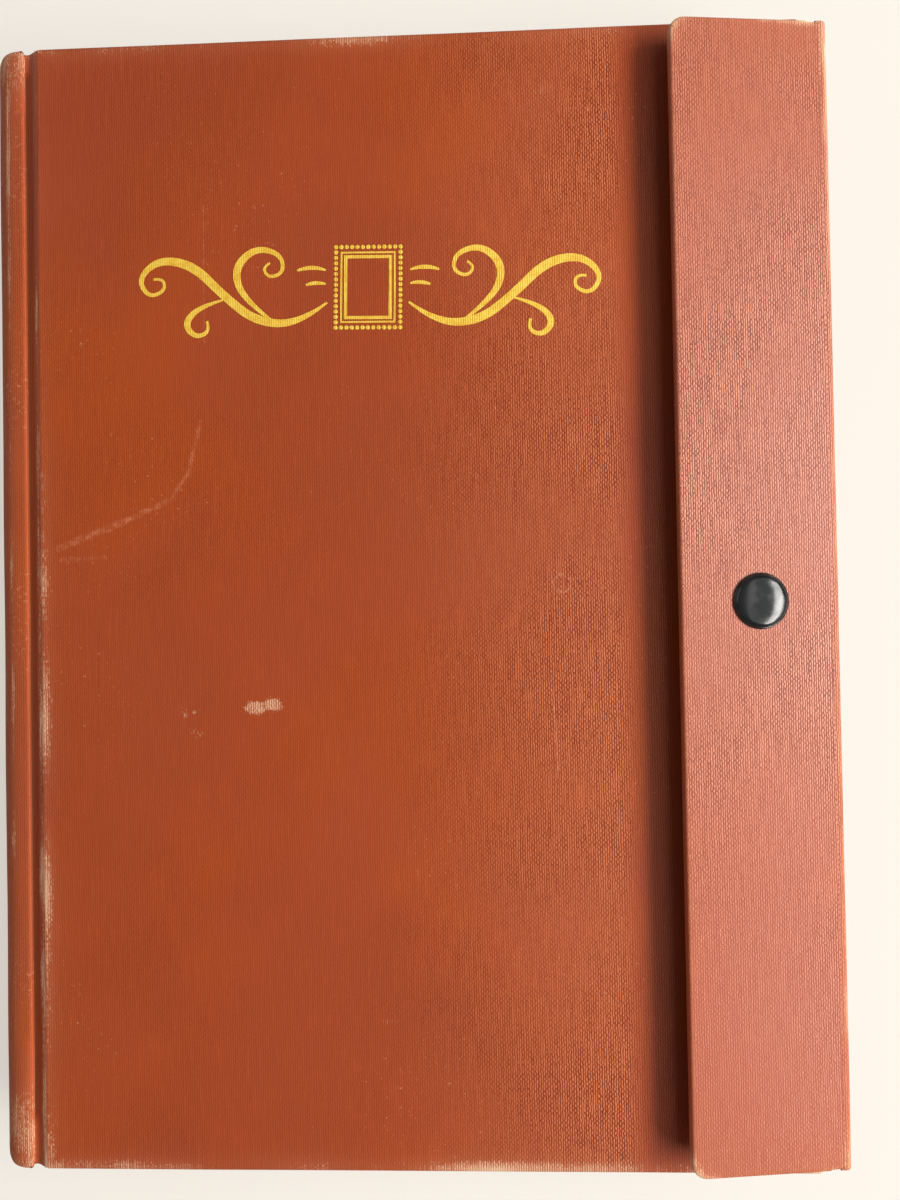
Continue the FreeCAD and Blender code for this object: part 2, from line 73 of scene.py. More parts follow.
def tone(*parts):  # red, green and blue as a paint program gives them, 0 to 255
    shares = [part / 255 for part in parts]
    return (*(part / 12.92 if part <= 0.04045 else ((part + 0.055) / 1.055) ** 2.4 for part in shares), 1.0)


def place(name, data):
    thing = bpy.data.objects.new(name, data)
    scene.collection.objects.link(thing)
    return thing


# camera, light and floor
view = {"place": (18.09, -3.95, 231.78), "turn": (0.0152, 0.0378, -0.0169), "lens": 27.06}
camera = place("camera", bpy.data.cameras.new("camera"))
camera.data.lens = view["lens"]
camera.data.sensor_width = 36
camera.data.clip_start = 0.01
camera.location = Vector(view["place"]) * mm
camera.rotation_mode = "QUATERNION"
camera.rotation_quaternion = Quaternion(Vector(view["turn"]).normalized(), Vector(view["turn"]).length)
scene.camera = camera

lamps = {
    "window": {"place": (0.93, -0.15, 0.79), "aim": (0.05, -0.02, 0.02), "size": (1.4, 0.3), "power": 20.0},
    "wall": {"place": (0.72, -0.02, 0.98), "aim": (0.05, 0, 0.02), "size": (1.7, 1.0), "power": 6.6},
    "room": {"place": (-1.2, 0.5, 0.55), "aim": (0, 0, 0.02), "size": (1.2, 0.8), "power": 2.2},
}
for name, lamp in lamps.items():
    light = bpy.data.lights.new(name, "AREA")
    light.shape = "RECTANGLE"
    light.size, light.size_y = lamp["size"]
    light.energy = lamp["power"]
    light.color = (1.0, 0.975, 0.94)
    holder = place(name, light)
    holder.location = lamp["place"]
    holder.rotation_euler = (Vector(lamp["aim"]) - holder.location).to_track_quat("-Z", "Y").to_euler()


class Wire:  # a node socket that can stand in a sum
    def __init__(self, tree, socket=None):
        self.tree, self.socket = tree, socket

    def add(self, kind, inputs=None, out=0, **settings):
        node = self.tree.nodes.new(kind)
        for key, setting in settings.items():
            setattr(node, key, setting)
        for key, given in (inputs or {}).items():
            if isinstance(given, Wire):
                self.tree.links.new(given.socket, node.inputs[key])
            else:
                node.inputs[key].default_value = given
        return Wire(self.tree, node.outputs[out] if node.outputs else None)

    def sum(self, operation, first, second=0.0, third=0.0, clamp=False):
        return self.add("ShaderNodeMath", {0: first, 1: second, 2: third}, operation=operation, use_clamp=clamp)

    def __add__(self, other): return self.sum("ADD", self, other)
    def __radd__(self, other): return self.sum("ADD", other, self)
    def __sub__(self, other): return self.sum("SUBTRACT", self, other)
    def __rsub__(self, other): return self.sum("SUBTRACT", other, self)
    def __mul__(self, other): return self.sum("MULTIPLY", self, other)
    def __truediv__(self, other): return self.sum("DIVIDE", self, other)
    def __pow__(self, other): return self.sum("POWER", self, other)
    def __abs__(self): return self.sum("ABSOLUTE", self)

    def sine(self): return self.sum("SINE", self)
    def most(self, other): return self.sum("MAXIMUM", self, other)
    def floor(self): return self.sum("FLOOR", self)
    def clamped(self): return self.sum("ADD", self, 0.0, clamp=True)
    def length(self): return self.add("ShaderNodeVectorMath", {0: self}, "Value", operation="LENGTH")

    def ease(self, low, high):  # 0 below low, 1 above high, smooth between
        return self.add("ShaderNodeMapRange", {0: self, 1: low, 2: high}, interpolation_type="SMOOTHSTEP")

    def mix(self, first, second):  # two colours, by this value
        return self.add("ShaderNodeMix", {0: self, 6: first, 7: second}, 2, data_type="RGBA")

    def noise(self, spot, scale, detail=2.0, roughness=0.5):
        inputs = {"Vector": spot, "Scale": scale, "Detail": detail, "Roughness": roughness}
        return self.add("ShaderNodeTexNoise", inputs)

    def point(self, x, y=0.0, z=0.0):
        return self.add("ShaderNodeCombineXYZ", {0: x, 1: y, 2: z})

    def parts(self):
        return [self.add("ShaderNodeSeparateXYZ", {0: self}, k) for k in range(3)]

    def objectSpot(self):  # the piece's own place, in millimetres
        spot = self.add("ShaderNodeTexCoord", out="Object")
        return self.add("ShaderNodeVectorMath", {0: spot, "Scale": 1000.0}, operation="SCALE")


def newPaint(name):
    material = bpy.data.materials.new(name)
    material.use_nodes = True
    material.node_tree.nodes.clear()
    paint = Wire(material.node_tree)
    paint.material = material
    return paint


def finishPaint(paint, height=None, depth=0.0, **sockets):  # depth of the bump in millimetres
    inputs = {key.replace("_", " "): given for key, given in sockets.items()}
    if height is not None:
        inputs["Normal"] = paint.add("ShaderNodeBump", {"Strength": 1.0, "Distance": depth * mm, "Height": height})
    shader = paint.add("ShaderNodeBsdfPrincipled", inputs)
    paint.add("ShaderNodeOutputMaterial", {"Surface": shader})
    return paint.material


# floor and world
floorLook = {"size": 6.0, "colour": tone(238, 232, 224), "darker": tone(230, 223, 214), "paler": 0.6,
             "fade": (300.0, 2000.0), "glow": tone(250, 244, 235), "drop": 0.0003}
skyWhite = (1.0, 0.98, 0.95, 1)
paint = newPaint("paleFloor")
spot = paint.objectSpot()
mottle = paint.noise(spot, 0.004, 3)
shade = (mottle * 0.5 + 0.25).mix(floorLook["colour"], floorLook["darker"])
matt = paint.add("ShaderNodeBsdfDiffuse", {"Color": shade})
near = paint.add("ShaderNodeEmission", {"Color": floorLook["glow"], "Strength": 1.0})
away = paint.add("ShaderNodeEmission", {"Color": skyWhite})
x, y, z = spot.parts()
far = ((x * x + y * y) ** 0.5).ease(*floorLook["fade"])  # the floor ends in the white behind it
glow = paint.add("ShaderNodeMixShader", {0: far, 1: near, 2: away})
seen = paint.add("ShaderNodeLightPath", out="Is Camera Ray") * (far * (1 - floorLook["paler"]) + floorLook["paler"])
shader = paint.add("ShaderNodeMixShader", {0: seen, 1: matt, 2: glow})
paint.add("ShaderNodeOutputMaterial", {"Surface": shader})
floorMesh = bpy.data.meshes.new("floor")
half = floorLook["size"] / 2
corners = [(x * half, y * half, -floorLook["drop"]) for x, y in ((-1, -1), (1, -1), (1, 1), (-1, 1))]
floorMesh.from_pydata(corners, [], [(0, 1, 2, 3)])
floorMesh.materials.append(paint.material)
floor = place("floor", floorMesh)

world = bpy.data.worlds.new("studio")
scene.world = world
world.use_nodes = True
world.node_tree.nodes.clear()
sky = Wire(world.node_tree)
rays = ("Camera", "Glossy", "Transmission")
path, shine, through = [sky.add("ShaderNodeLightPath", out=f"Is {ray} Ray") for ray in rays]
seen = (path + shine * 0.1 + through).clamped()
soft = sky.add("ShaderNodeBackground", {"Color": skyWhite, "Strength": 0.12})
white = sky.add("ShaderNodeBackground", {"Color": skyWhite, "Strength": 1.0})
both = sky.add("ShaderNodeMixShader", {0: seen, 1: soft, 2: white})
sky.add("ShaderNodeOutputWorld", {"Surface": both})
scene.view_settings.view_transform = "Standard"
print("stage: camera, lamps and floor")

# finishes
# hollow is painted shade between the threads, crown a painted highlight on their tops, and the darkest brown a painted
# shade in the grooves
clothLook = {
    "warpPitch": 0.53, "weftPitch": 0.55, "wander": 0.3, "uneven": 0.45,
    "rust": tone(169, 73, 27), "redder": tone(161, 69, 37), "paler": tone(186, 88, 38), "hollow": tone(106, 34, 8),
    "bare": tone(224, 174, 140), "cream": tone(240, 214, 182), "scuff": tone(214, 140, 104),
    "grooveShade": tone(92, 46, 22), "roughness": 0.52, "polish": 0.22, "contrast": 0.6, "threadDepth": 0.035,
    "crown": tone(240, 152, 118), "crownHighlightShare": 0.0, "shine": 0.28,
}
# marks on the front cover: places in millimetres, then width and strength
frontMarks = {
    "lines": [((-80.8, 12.8), (-65.4, 18.8), 1.3, 0.55), ((-65.4, 18.8), (-54.5, 23.6), 1.0, 0.5),
              ((-54.5, 23.6), (-50.1, 29.8), 0.8, 0.4), ((-50.1, 29.8), (-47.2, 41.7), 0.9, 0.45),
              ((-45.8, 92.3), (-46.0, 59.7), 0.28, 0.42), ((33.4, -21.7), (34.3, -39.9), 0.34, 0.95),
              ((-80.3, 10.1), (-69.9, 10.6), 0.8, 0.35)],
    "spots": [((-35.0, -24.9), (3.2, 1.9), 2.0), ((-31.0, -24.1), (2.8, 2.0), 2.0),
              ((-49.4, -25.8), (0.6, 0.6), 1.3), ((-51.6, -25.6), (1.2, 2.2), 0.45),
              ((-48.9, -30.4), (2.4, 2.0), 0.35), ((33.0, 116.5), (4.5, 2.2), 0.28), ((15.8, 37.3), (0.5, 0.6), 0.9),
              ((21.3, 43.2), (0.35, 0.35), 0.8), ((-5.4, -96.9), (2.2, 1.0), 0.3)],
    "rings": [((36.2, 2.7), 2.0, 0.6)],
    "fleck": 0.7, "fleckFrom": 0.62,
}


def clothPaint(name, look, marks=None):
    paint = newPaint(name)
    u, v, wear = paint.add("ShaderNodeAttribute", out="Vector", attribute_name="weave").parts()

    def cloud(scale, detail=2.0, roughness=0.5, layer=0.0):
        return paint.noise(paint.point(u, v, layer), scale, detail, roughness)

    across = u + (cloud(0.11) - 0.5) * look["wander"] + (cloud(0.7, 1) - 0.5) * look["uneven"]
    along = v + (cloud(0.09, layer=7.3) - 0.5) * look["wander"]
    along = along + (cloud(0.6, 1, layer=2.9) - 0.5) * look["uneven"]
    crossing = paint.point((across / look["warpPitch"]).floor(), (along / look["weftPitch"]).floor())
    speck = paint.add("ShaderNodeTexWhiteNoise", {"Vector": crossing}, noise_dimensions="2D")
    warp = (across * (pi / look["warpPitch"])).sine()
    weft = (along * (pi / look["weftPitch"])).sine()
    over = warp * weft * 0.5 + 0.5  # 1 where a warp thread lies on top
    slub = paint.noise(paint.point(u * 1.7, v * 0.1), 1.0, 2, 0.6)  # threads of uneven thickness
    crown = (over * 0.34 + abs(warp) * 0.66) * (slub * 0.7 + 0.5) * (speck * 0.3 + 0.95)
    patch = cloud(0.055, 4, 0.6)
    stain = cloud(0.013, 4, 0.55, 3.1)
    grain = cloud(1.4, 2, 0.6)
    colour = stain.ease(0.38, 0.66).mix(look["redder"], look["rust"])
    colour = (slub.ease(0.45, 0.85) * 0.25).mix(colour, look["paler"])
    shown = cloud(0.022, layer=5.7).ease(0.35, 0.65) * 0.55 + 0.45  # the weave is filled in places
    crownHighlight, shine = 1.0, look["shine"]
    if "weaveShadeAround" in look:  # and the painted weave shade and highlight show most in a band round the middle of the flap
        middle, end, start = look["weaveShadeAround"]
        shown = shown * (abs(v - middle).ease(end, start) * 0.85 + 0.4)
        head = v.ease(*look["glossAndHighlightFrom"])  # the painted crown highlight paler and the cloth glossier towards the head
        crownHighlight = head * 0.12 + 0.88
        shine = (head * 0.45 + 0.55) * shine
    if "crownHighlight" in look:  # and where low light crosses the threads, a painted highlight, cut off by a painted shadow of the flap
        start, end, shade, dark = look["crownHighlight"]
        crownHighlight = u.ease(start, end) * u.ease(dark, shade)
        shown = shown * (crownHighlight * 0.8 + 0.8)
    # painted shade in the hollows between the threads
    colour = (crown.ease(0.75, 0.1) * shown * look["contrast"]).mix(colour, look["hollow"])
    if look["crownHighlightShare"]:  # painted highlight on the thread crowns: where the weave is filled, the pale crowns run together
        pale = (crown.ease(0.45, 0.8) * shown + (1 - shown) * 0.3) * crownHighlight
        colour = (pale * look["crownHighlightShare"]).mix(colour, look["crown"])
    colour = (patch.ease(0.6, 0.85) * 0.3).mix(colour, look["paler"])
    # colour comes off the crowns of the threads, one crossing at a time
    rubbed = wear * 1.5 + patch * 1.1 + slub * 0.5 - 1.35
    scuffed, pits = wear * 0.25, 0.0
    if marks:
        broken = cloud(0.5, 3, 0.7).ease(0.4, 0.66)
        handled = cloud(0.03, layer=9.1).ease(0.48, 0.68)
        fleck = cloud(0.9, 3, 0.75).ease(marks["fleckFrom"], marks["fleckFrom"] + 0.08)
        scuffed = scuffed.most(fleck * handled * marks["fleck"])
        for start, end, width, strength in marks["lines"]:
            start, span = Vector(start), Vector(end) - Vector(start)
            step = span / span.length_squared
            share = ((u - start.x) * step.x + (v - start.y) * step.y).clamped()
            away = paint.point(u - start.x - share * span.x, v - start.y - share * span.y)
            reach = away.length() + (grain - 0.5) * width
            scuffed = scuffed.most(reach.ease(width, 0.0) * (broken * 0.9 + 0.1) * strength)
        for middle, size, strength in marks["spots"]:
            away = paint.point((u - middle[0]) / size[0], (v - middle[1]) / size[1])
            reach = away.length() + (grain - 0.5) * 0.8
            rubbed = rubbed.most(reach.ease(1.1, 0.25) * (broken * 0.5 + 0.5) * strength)
        for middle, radius, width in marks["rings"]:
            away = paint.point(u - middle[0], v - middle[1])
            dent = abs(away.length() - radius).ease(width, 0.0)
            pits = pits + dent
            scuffed = scuffed.most(dent * broken * 0.7)
    rubbed = rubbed.clamped()
    bare = (rubbed * 1.6 - speck * 0.9 + rubbed * rubbed * 0.5).clamped() * crown.ease(0.2, 0.75) * (grain * 0.6 + 0.6)
    bare = bare.clamped()
    colour = (scuffed * (crown * 0.7 + 0.4)).clamped().mix(colour, look["scuff"])
    colour = bare.mix(colour, look["bare"])
    colour = wear.ease(0.9, 1.2).mix(colour, look["cream"])
    grooveShade = (wear * -1.0).clamped()  # below 0 the wear stands for painted shade in a groove
    colour = grooveShade.mix(colour, look["grooveShade"])
    height = crown + cloud(0.35) * 0.6 - pits * 1.4
    rough = look["roughness"] - crown.ease(0.4, 0.75) * look["polish"] + bare * 0.2 + abs(wear) * 0.25
    return finishPaint(paint, height, look["threadDepth"], Base_Color=colour, Roughness=rough, Specular_IOR_Level=shine)


def paperPaint(name, colour, darker, roughness=0.75, fibre=0.02):
    paint = newPaint(name)
    spot = paint.objectSpot()
    age = paint.noise(spot, 0.02, 4, 0.6)
    fleck = paint.noise(spot, 1.6, 3, 0.7)
    foxing = paint.noise(spot, 0.16, 3, 0.65).ease(0.7, 0.78)
    shade = (age.ease(0.35, 0.75) * 0.7).mix(colour, darker)
    shade = (fleck.ease(0.58, 0.75) * 0.25 + foxing * 0.3).mix(shade, darker)
    return finishPaint(paint, fleck, fibre, Base_Color=shade, Roughness=age * 0.1 + (roughness - 0.05))


def linenPaint(name, pale, dark):
    paint = newPaint(name)
    x, y, z = paint.objectSpot().parts()
    warp = ((x + z) * (pi / 0.5)).sine()
    weft = (y * (pi / 0.5)).sine()
    over = warp * weft * 0.5 + 0.5
    slub = paint.noise(paint.point(x * 1.5 + z, y * 0.1), 1.0, 2)
    thread = abs(warp) * over + abs(weft) * (1 - over)
    # darker between the threads is painted shade; the slubs vary the thread's own colour
    colour = (thread * 0.6 + slub * 0.5).ease(0.1, 0.9).mix(dark, pale)
    return finishPaint(paint, thread, 0.06, Base_Color=colour, Roughness=0.8)


def clearPaint(name, colour, alpha, streak, roughness):
    paint = newPaint(name)
    spot = paint.objectSpot()
    x, y, z = spot.parts()
    ripple = paint.noise(paint.point(x * 0.05, y * 0.4, z), 1.0, 2)
    cloud = paint.noise(spot, 0.05, 3)
    return finishPaint(paint, ripple + cloud * 0.5, streak, Base_Color=cloud.mix(colour, tone(254, 252, 246)),
                       Roughness=ripple * 0.1 + roughness, Alpha=cloud * 0.06 + (alpha - 0.03), IOR=1.49)


def enamelPaint(name):
    paint = newPaint(name)
    spot = paint.objectSpot()
    dust = paint.noise(spot, 3.2, 3, 0.7).ease(0.68, 0.8)
    haze = paint.noise(spot, 0.5, 3)
    smear = paint.noise(spot, 0.2, 2).ease(0.36, 0.62)
    return finishPaint(paint, haze, 0.015, Base_Color=(dust * 0.3).mix(tone(22, 26, 28), tone(110, 108, 104)),
                       Roughness=haze * 0.1 + dust * 0.2 + smear * 0.08 + 0.08, Specular_IOR_Level=smear * 0.4 + 0.32)


def metalPaint(name, bright, dull, roughness):
    paint = newPaint(name)
    spot = paint.objectSpot()
    tarnish = paint.noise(spot, 0.7, 4, 0.6)
    brush = paint.noise(spot, 6.0, 2, 0.6)
    return finishPaint(paint, brush, 0.01, Base_Color=tarnish.ease(0.35, 0.75).mix(bright, dull), Metallic=1.0,
                       Roughness=tarnish * 0.2 + brush * 0.1 + roughness)


def foilPaint(name):  # gold foil pressed over the threads
    paint = newPaint(name)
    x, y, z = paint.objectSpot().parts()
    warp = abs((x * (pi / clothLook["warpPitch"])).sine())
    weft = abs((y * (pi / clothLook["weftPitch"])).sine())
    thread = warp * 0.7 + weft * 0.3
    rub = paint.noise(paint.point(x, y), 0.5, 4, 0.65)
    colour = rub.ease(0.3, 0.75).mix(tone(252, 214, 84), tone(234, 178, 44))
    # darker where the threads dip: painted shade between the threads
    colour = (thread.ease(0.5, 0.05) * 0.35).mix(colour, tone(160, 100, 34))
    return finishPaint(paint, thread, 0.07, Base_Color=colour, Metallic=0.2, Roughness=rub * 0.2 + 0.3)


clothPlain = clothPaint("bookCloth", clothLook)
# the front cover gets a painted highlight on its thread crowns where low light rakes them, and a painted shadow beside
# the flap
frontLook = {**clothLook, "crownHighlightShare": 0.4, "contrast": 0.75, "crown": tone(232, 138, 92),
             "crownHighlight": (-12.0, 46.0, 47.0, 54.0)}
clothFront = clothPaint("bookClothFront", frontLook, frontMarks)
# the flap's cloth is glossier, with a painted sheen on its thread crowns
flapLook = {**clothLook, "crownHighlightShare": 0.6, "contrast": 1.0, "roughness": 0.54, "shine": 0.65,
            "bare": tone(228, 172, 134), "cream": tone(238, 200, 152), "weaveShadeAround": (30.0, 150.0, 40.0),
            "glossAndHighlightFrom": (-75.0, 25.0)}
clothFlap = clothPaint("bookClothFlap", flapLook)
# the spine is painted paler to make up for light it misses, facing away from the lamps
spinePaintedLighterLook = {**clothLook, "rust": tone(186, 88, 44), "redder": tone(178, 84, 50), "roughness": 0.66, "shine": 0.15}
spineMarks = {"lines": [], "spots": [], "rings": [], "fleck": 0.8, "fleckFrom": 0.56}
clothSpinePaintedLighter = clothPaint("bookClothSpinePaintedLighter", spinePaintedLighterLook, spineMarks)
greyboard = paperPaint("greyboard", tone(160, 152, 138), tone(128, 120, 106), 0.85, 0.05)
endpaper = paperPaint("endpaper", tone(236, 224, 196), tone(216, 196, 158))
leafCard = paperPaint("leafCard", tone(238, 230, 208), tone(224, 210, 178), 0.7)
linen = linenPaint("linen", tone(226, 214, 190), tone(176, 160, 130))
film = clearPaint("pocketFilm", tone(246, 250, 248), 0.16, 0.05, 0.12)
glassine = clearPaint("glassine", tone(252, 246, 230), 0.55, 0.08, 0.4)
enamel = enamelPaint("snapEnamel")
steel = metalPaint("snapSteel", tone(196, 196, 198), tone(120, 118, 114), 0.22)
foil = foilPaint("goldFoil")
threadPaint = linenPaint("sewingThread", tone(240, 234, 216), tone(196, 184, 156))
print("finishes:", len(bpy.data.materials))


# mesh helpers, all in millimetres
def newPiece(name, verts, faces, paintOn, weave=None, up=None):
    mesh = bpy.data.meshes.new(name)
    mesh.from_pydata([Vector(v) * mm for v in verts], [], faces)
    shape = bmesh.new()
    shape.from_mesh(mesh)
    bmesh.ops.recalc_face_normals(shape, faces=shape.faces)
    if up is not None:  # a face number and the way that it looks
        shape.faces.ensure_lookup_table()
        if shape.faces[up[0]].normal.dot(Vector(up[1])) < 0:
            bmesh.ops.reverse_faces(shape, faces=shape.faces)
    shape.to_mesh(mesh)
    shape.free()
    if weave:
        layer = mesh.attributes.new("weave", "FLOAT_VECTOR", "POINT")
        layer.data.foreach_set("vector", [part for row in weave for part in row])
    mesh.materials.append(paintOn)
    mesh.shade_smooth()
    return place(name, mesh)


def tube(rows, count, base=0, capped=True):  # faces through closed rows of points
    last = base + (rows - 1) * count
    faces = [(low + k, low + (k + 1) % count, low + count + (k + 1) % count, low + count + k)
             for low in range(base, last, count) for k in range(count)]
    return faces + [tuple(range(low, low + count)) for low in (base, last) if capped]


def sheet(rows, count, base=0):  # faces through open rows of points
    corners = [base + row * count + k for row in range(rows - 1) for k in range(count - 1)]
    return [(a, a + 1, a + count + 1, a + count) for a in corners]


def sides(points):  # the points of a line in X and Z, each with the way that its side looks
    spots = [Vector((p[0], 0, p[1])) for p in points]
    aims = [(b - a).normalized() for a, b in zip(spots[:1] + spots, spots[1:] + spots[-1:])]
    return spots, [Vector((-aim.z, 0, aim.x)) for aim in aims]


def runs(points, start=0.0):  # how far along a line each of its points is
    lengths = [start]
    for first, second in zip(points, points[1:]):
        lengths.append(lengths[-1] + dist(first[:2], second[:2]))
    return lengths


def quarter(steps):  # angles from 0 to a right angle
    return [pi / 2 * k / steps for k in range(steps + 1)]


def circle(count, radius=1.0):
    angles = [2 * pi * k / count for k in range(count)]
    return [(radius * cos(angle), radius * sin(angle)) for angle in angles]


def level(x, y, z):
    return (x, y, z)


def onFlap(a, y, h):  # a along the flap from its fold, h above it
    axis = jointAt["flap_fold"]
    c, s = cos(flapTilt), sin(flapTilt)
    return (axis.x + a * c + h * s, y, axis.z - a * s + h * c)


def roundedRing(x0, x1, y0, y1, radii, arc, short, long):
    # points: x, y, the way out in x and y, and the numbers of the sides that meet there
    corners = []
    for x, y, sx, sy, start, radius in zip((x0, x1, x1, x0), (y0, y0, y1, y1), (1, -1, -1, 1), (1, 1, -1, -1),
                                           (180, 270, 0, 90), radii):
        radius = max(radius, 0.02)
        turns = [radians(start + 90 * step / arc) for step in range(arc + 1)]
        corners.append([(x + radius * (sx + cos(t)), y + radius * (sy + sin(t)), cos(t), sin(t)) for t in turns])
    points = []
    for index, corner in enumerate(corners):
        points += [(*spot, (index - 1, index)) for spot in corner]
        (x, y, nx, ny), to = corner[-1], corners[(index + 1) % 4][0]
        count = short if index % 2 == 0 else long
        points += [(x + (to[0] - x) * step / count, y + (to[1] - y) * step / count, nx, ny, (index,))
                   for step in range(1, count)]
    return points


def headFade(y, size):  # less wear towards the head, where the size asks for it
    start, end, left = size.get("headFade", (1e6, 2e6, 1.0))
    share = min(max((y - start) / (end - start), 0.0), 1.0)
    return 1 + (left - 1) * share * share * (3 - 2 * share)


def wrapBoard(name, size, at, paintOn, lip=0.0):
    # rings run from the turn-in under the board, over its edge, to the middle of its face
    x0, x1, y0, y1 = size["outline"]
    thick, rounding, face = size["thick"], size["rounding"], size["face"]
    steps = 5
    rings = [(size["turnIn"], -thick), (rounding * 2, -thick)]
    rings += [(rounding - rounding * sin(t), -thick + rounding - rounding * cos(t)) for t in quarter(steps)]
    rings += [(rounding - rounding * cos(t), -rounding + rounding * sin(t)) for t in quarter(steps)]
    rings += [(rounding + step, 0.0) for step in (0.5, 1.2, 2.2, 3.6, 5.5, 8.5, 13.0)]
    verts, weave, lengths = [], [], runs(rings)
    topIndex = 2 + 2 * (steps + 1) - 1  # the ring where the face begins
    strength = [size["wear"][side] for side in ("bottom", "right", "top", "left")]
    ringSteps = (6, 22, 46)  # in a corner, along a short side and along a long side
    for index, (depth, drop) in enumerate(rings):
        onTop = index >= topIndex
        inset = min(depth, 0.45 * (x1 - x0))
        right = x1 + lip - inset * 0.15 if lip and onTop else x1 - inset
        radii = [max(r - depth, 0) for r in size["corners"]]
        ring = roundedRing(x0 + inset, right, y0 + depth, y1 - depth, radii, *ringSteps)
        spread = 0.0 if onTop else lengths[topIndex] - lengths[index] - rounding - depth  # of the cloth, laid flat
        rim = 0.1 if depth > rounding * 1.5 else 1.0
        if onTop:
            rim = 1 / (1 + (max(depth - rounding * 0.6, 0.0) / size["wearWidth"]) ** 3)
        for x, y, nx, ny, meeting in ring:
            waver = noise.noise(Vector((x * 0.03, y * 0.03, size["seed"]))) * size["waver"]
            verts.append(at(x, y, face + drop + (waver if drop > -rounding * 1.2 else 0)))
            edge = max(strength[side] for side in meeting)  # a corner takes the stronger of its two sides
            if nx < -0.5:
                edge *= headFade(y, size)
            corner = max(worn * exp(-hypot(x - cx, y - cy) / 3.2) for worn, cx, cy in
                         zip(size["cornerWear"], (x0, x1, x1, x0), (y0, y0, y1, y1)))
            ragged = 0.8 + 0.7 * noise.noise(Vector((x * 0.05, y * 0.05, size["seed"] + 5)))
            weave.append((x + nx * spread, y + ny * spread, min(edge * rim * ragged + corner, 1.2)))
    count = len(ring)
    faces = tube(len(rings), count, capped=False) + [tuple(range(len(verts) - count, len(verts)))]
    facing = Vector(at(0, 0, 1)) - Vector(at(0, 0, 0))
    return newPiece(name, verts, faces, paintOn, weave, (len(faces) - 1, facing))


def sweepStrip(name, profile, size, paintOn):
    # profile: points (x, z, wear) along the outside, where wear below 0 is painted shade; it runs along Y and its ends
    # turn in
    half, rounding, thick = size["half"], size["rounding"], size["thick"]
    bend = quarter(4)
    end = [(size["turnIn"], thick), (rounding, thick)]
    if thick > 2 * rounding:
        end += [(rounding - rounding * sin(t), thick - rounding + rounding * cos(t)) for t in bend]
    end += [(rounding - rounding * cos(t), rounding - rounding * sin(t)) for t in bend]
    lengths = runs(end)
    stations = [(inY - half, depth, rounding - half - (lengths[-1] - run), 1.0 if depth > 0.01 else 0.9)
                for (inY, depth), run in zip(end, lengths)]
    far = [(-y, depth, -v, w) for y, depth, v, w in reversed(stations)]
    count = size["stations"]

    def endShape(y):  # worn for a stretch, then bare at the very tip
        away = half - abs(y)
        reach = size["wearWidth"] * (1.0 if y < 0 else size.get("topShare", 1.0))
        return 0.85 / (1 + (away / reach) ** 4) + 0.4 * exp(-away / 1.2)

    middle = [(rounding - half) * cos(pi * k / count) for k in range(1, count)]
    stations += [(y, 0.0, y, endShape(y)) for y in middle] + far
    spots, outward = sides(profile)
    outward = [way * size["side"] for way in outward]
    arcs = runs(profile, size["from"])
    verts, weave = [], []
    for y, depth, v, endWear in stations:
        for k, spotAt in enumerate(spots):
            waver = noise.noise(Vector((arcs[k] * 0.08, y * 0.035, size["seed"]))) * size["waver"]
            near = max(1 - (half - abs(y)) / size.get("drawLength", 1.0), 0.0)
            p = spotAt - outward[k] * (depth - waver + size.get("draw", 0.0) * near * near)
            verts.append((p.x, y, p.z))
            ragged = 0.75 + 0.7 * noise.noise(Vector((arcs[k] * 0.3, y * 0.12, size["seed"] + 2)))
            rubbed = profile[k][2] * (ragged * headFade(y, size) if profile[k][2] > 0 else 1.0)
            ends = size["endWear"] * endWear * (0.5 + 0.5 * ragged)
            weave.append((arcs[k], v, min(max(rubbed, ends) if ends > 0.1 else rubbed, 1.2)))
    wide = len(spots)
    middleFace = (len(stations) // 2) * (wide - 1) + (wide - 1) // 2
    return newPiece(name, verts, sheet(len(stations), wide), paintOn, weave, (middleFace, outward[(wide - 1) // 2]))


def arcPoints(cx, cz, radius, start, end, steps, wear=lambda share: 0.0):
    return [(cx + radius * cos(radians(start + (end - start) * k / steps)),
             cz + radius * sin(radians(start + (end - start) * k / steps)), wear(k / steps))
            for k in range(steps + 1)]


def lathe(name, profile, at, paintOn, segments=64):
    verts, faces, rows = [], [], []
    for radius, height in profile:
        if radius < 1e-6:
            rows.append([len(verts)] * segments)
            verts.append(at(0, 0, height))
            continue
        rows.append(list(range(len(verts), len(verts) + segments)))
        verts += [at(x, y, height) for x, y in circle(segments, radius)]
    for low, high in zip(rows, rows[1:]):
        quads = [tuple(dict.fromkeys((low[k - 1], low[k], high[k], high[k - 1]))) for k in range(segments)]
        faces += [quad for quad in quads if len(quad) > 2]  # a quad with two corners at the middle is a triangle
    return newPiece(name, verts, faces, paintOn)


def slab(name, loop, half, paintOn, stations=2):  # a closed section (x, z) drawn out along Y
    verts = [(x, -half + 2 * half * row / (stations - 1), z) for row in range(stations) for x, z in loop]
    return newPiece(name, verts, tube(stations, len(loop)), paintOn)


def ribbon(points, thick):  # a thin closed section round a line of points
    spots, ways = sides(points)
    upper = [spot + way * thick / 2 for spot, way in zip(spots, ways)]
    lower = [spot - way * thick / 2 for spot, way in zip(spots, ways)]
    return [(spot.x, spot.z) for spot in upper + lower[::-1]]


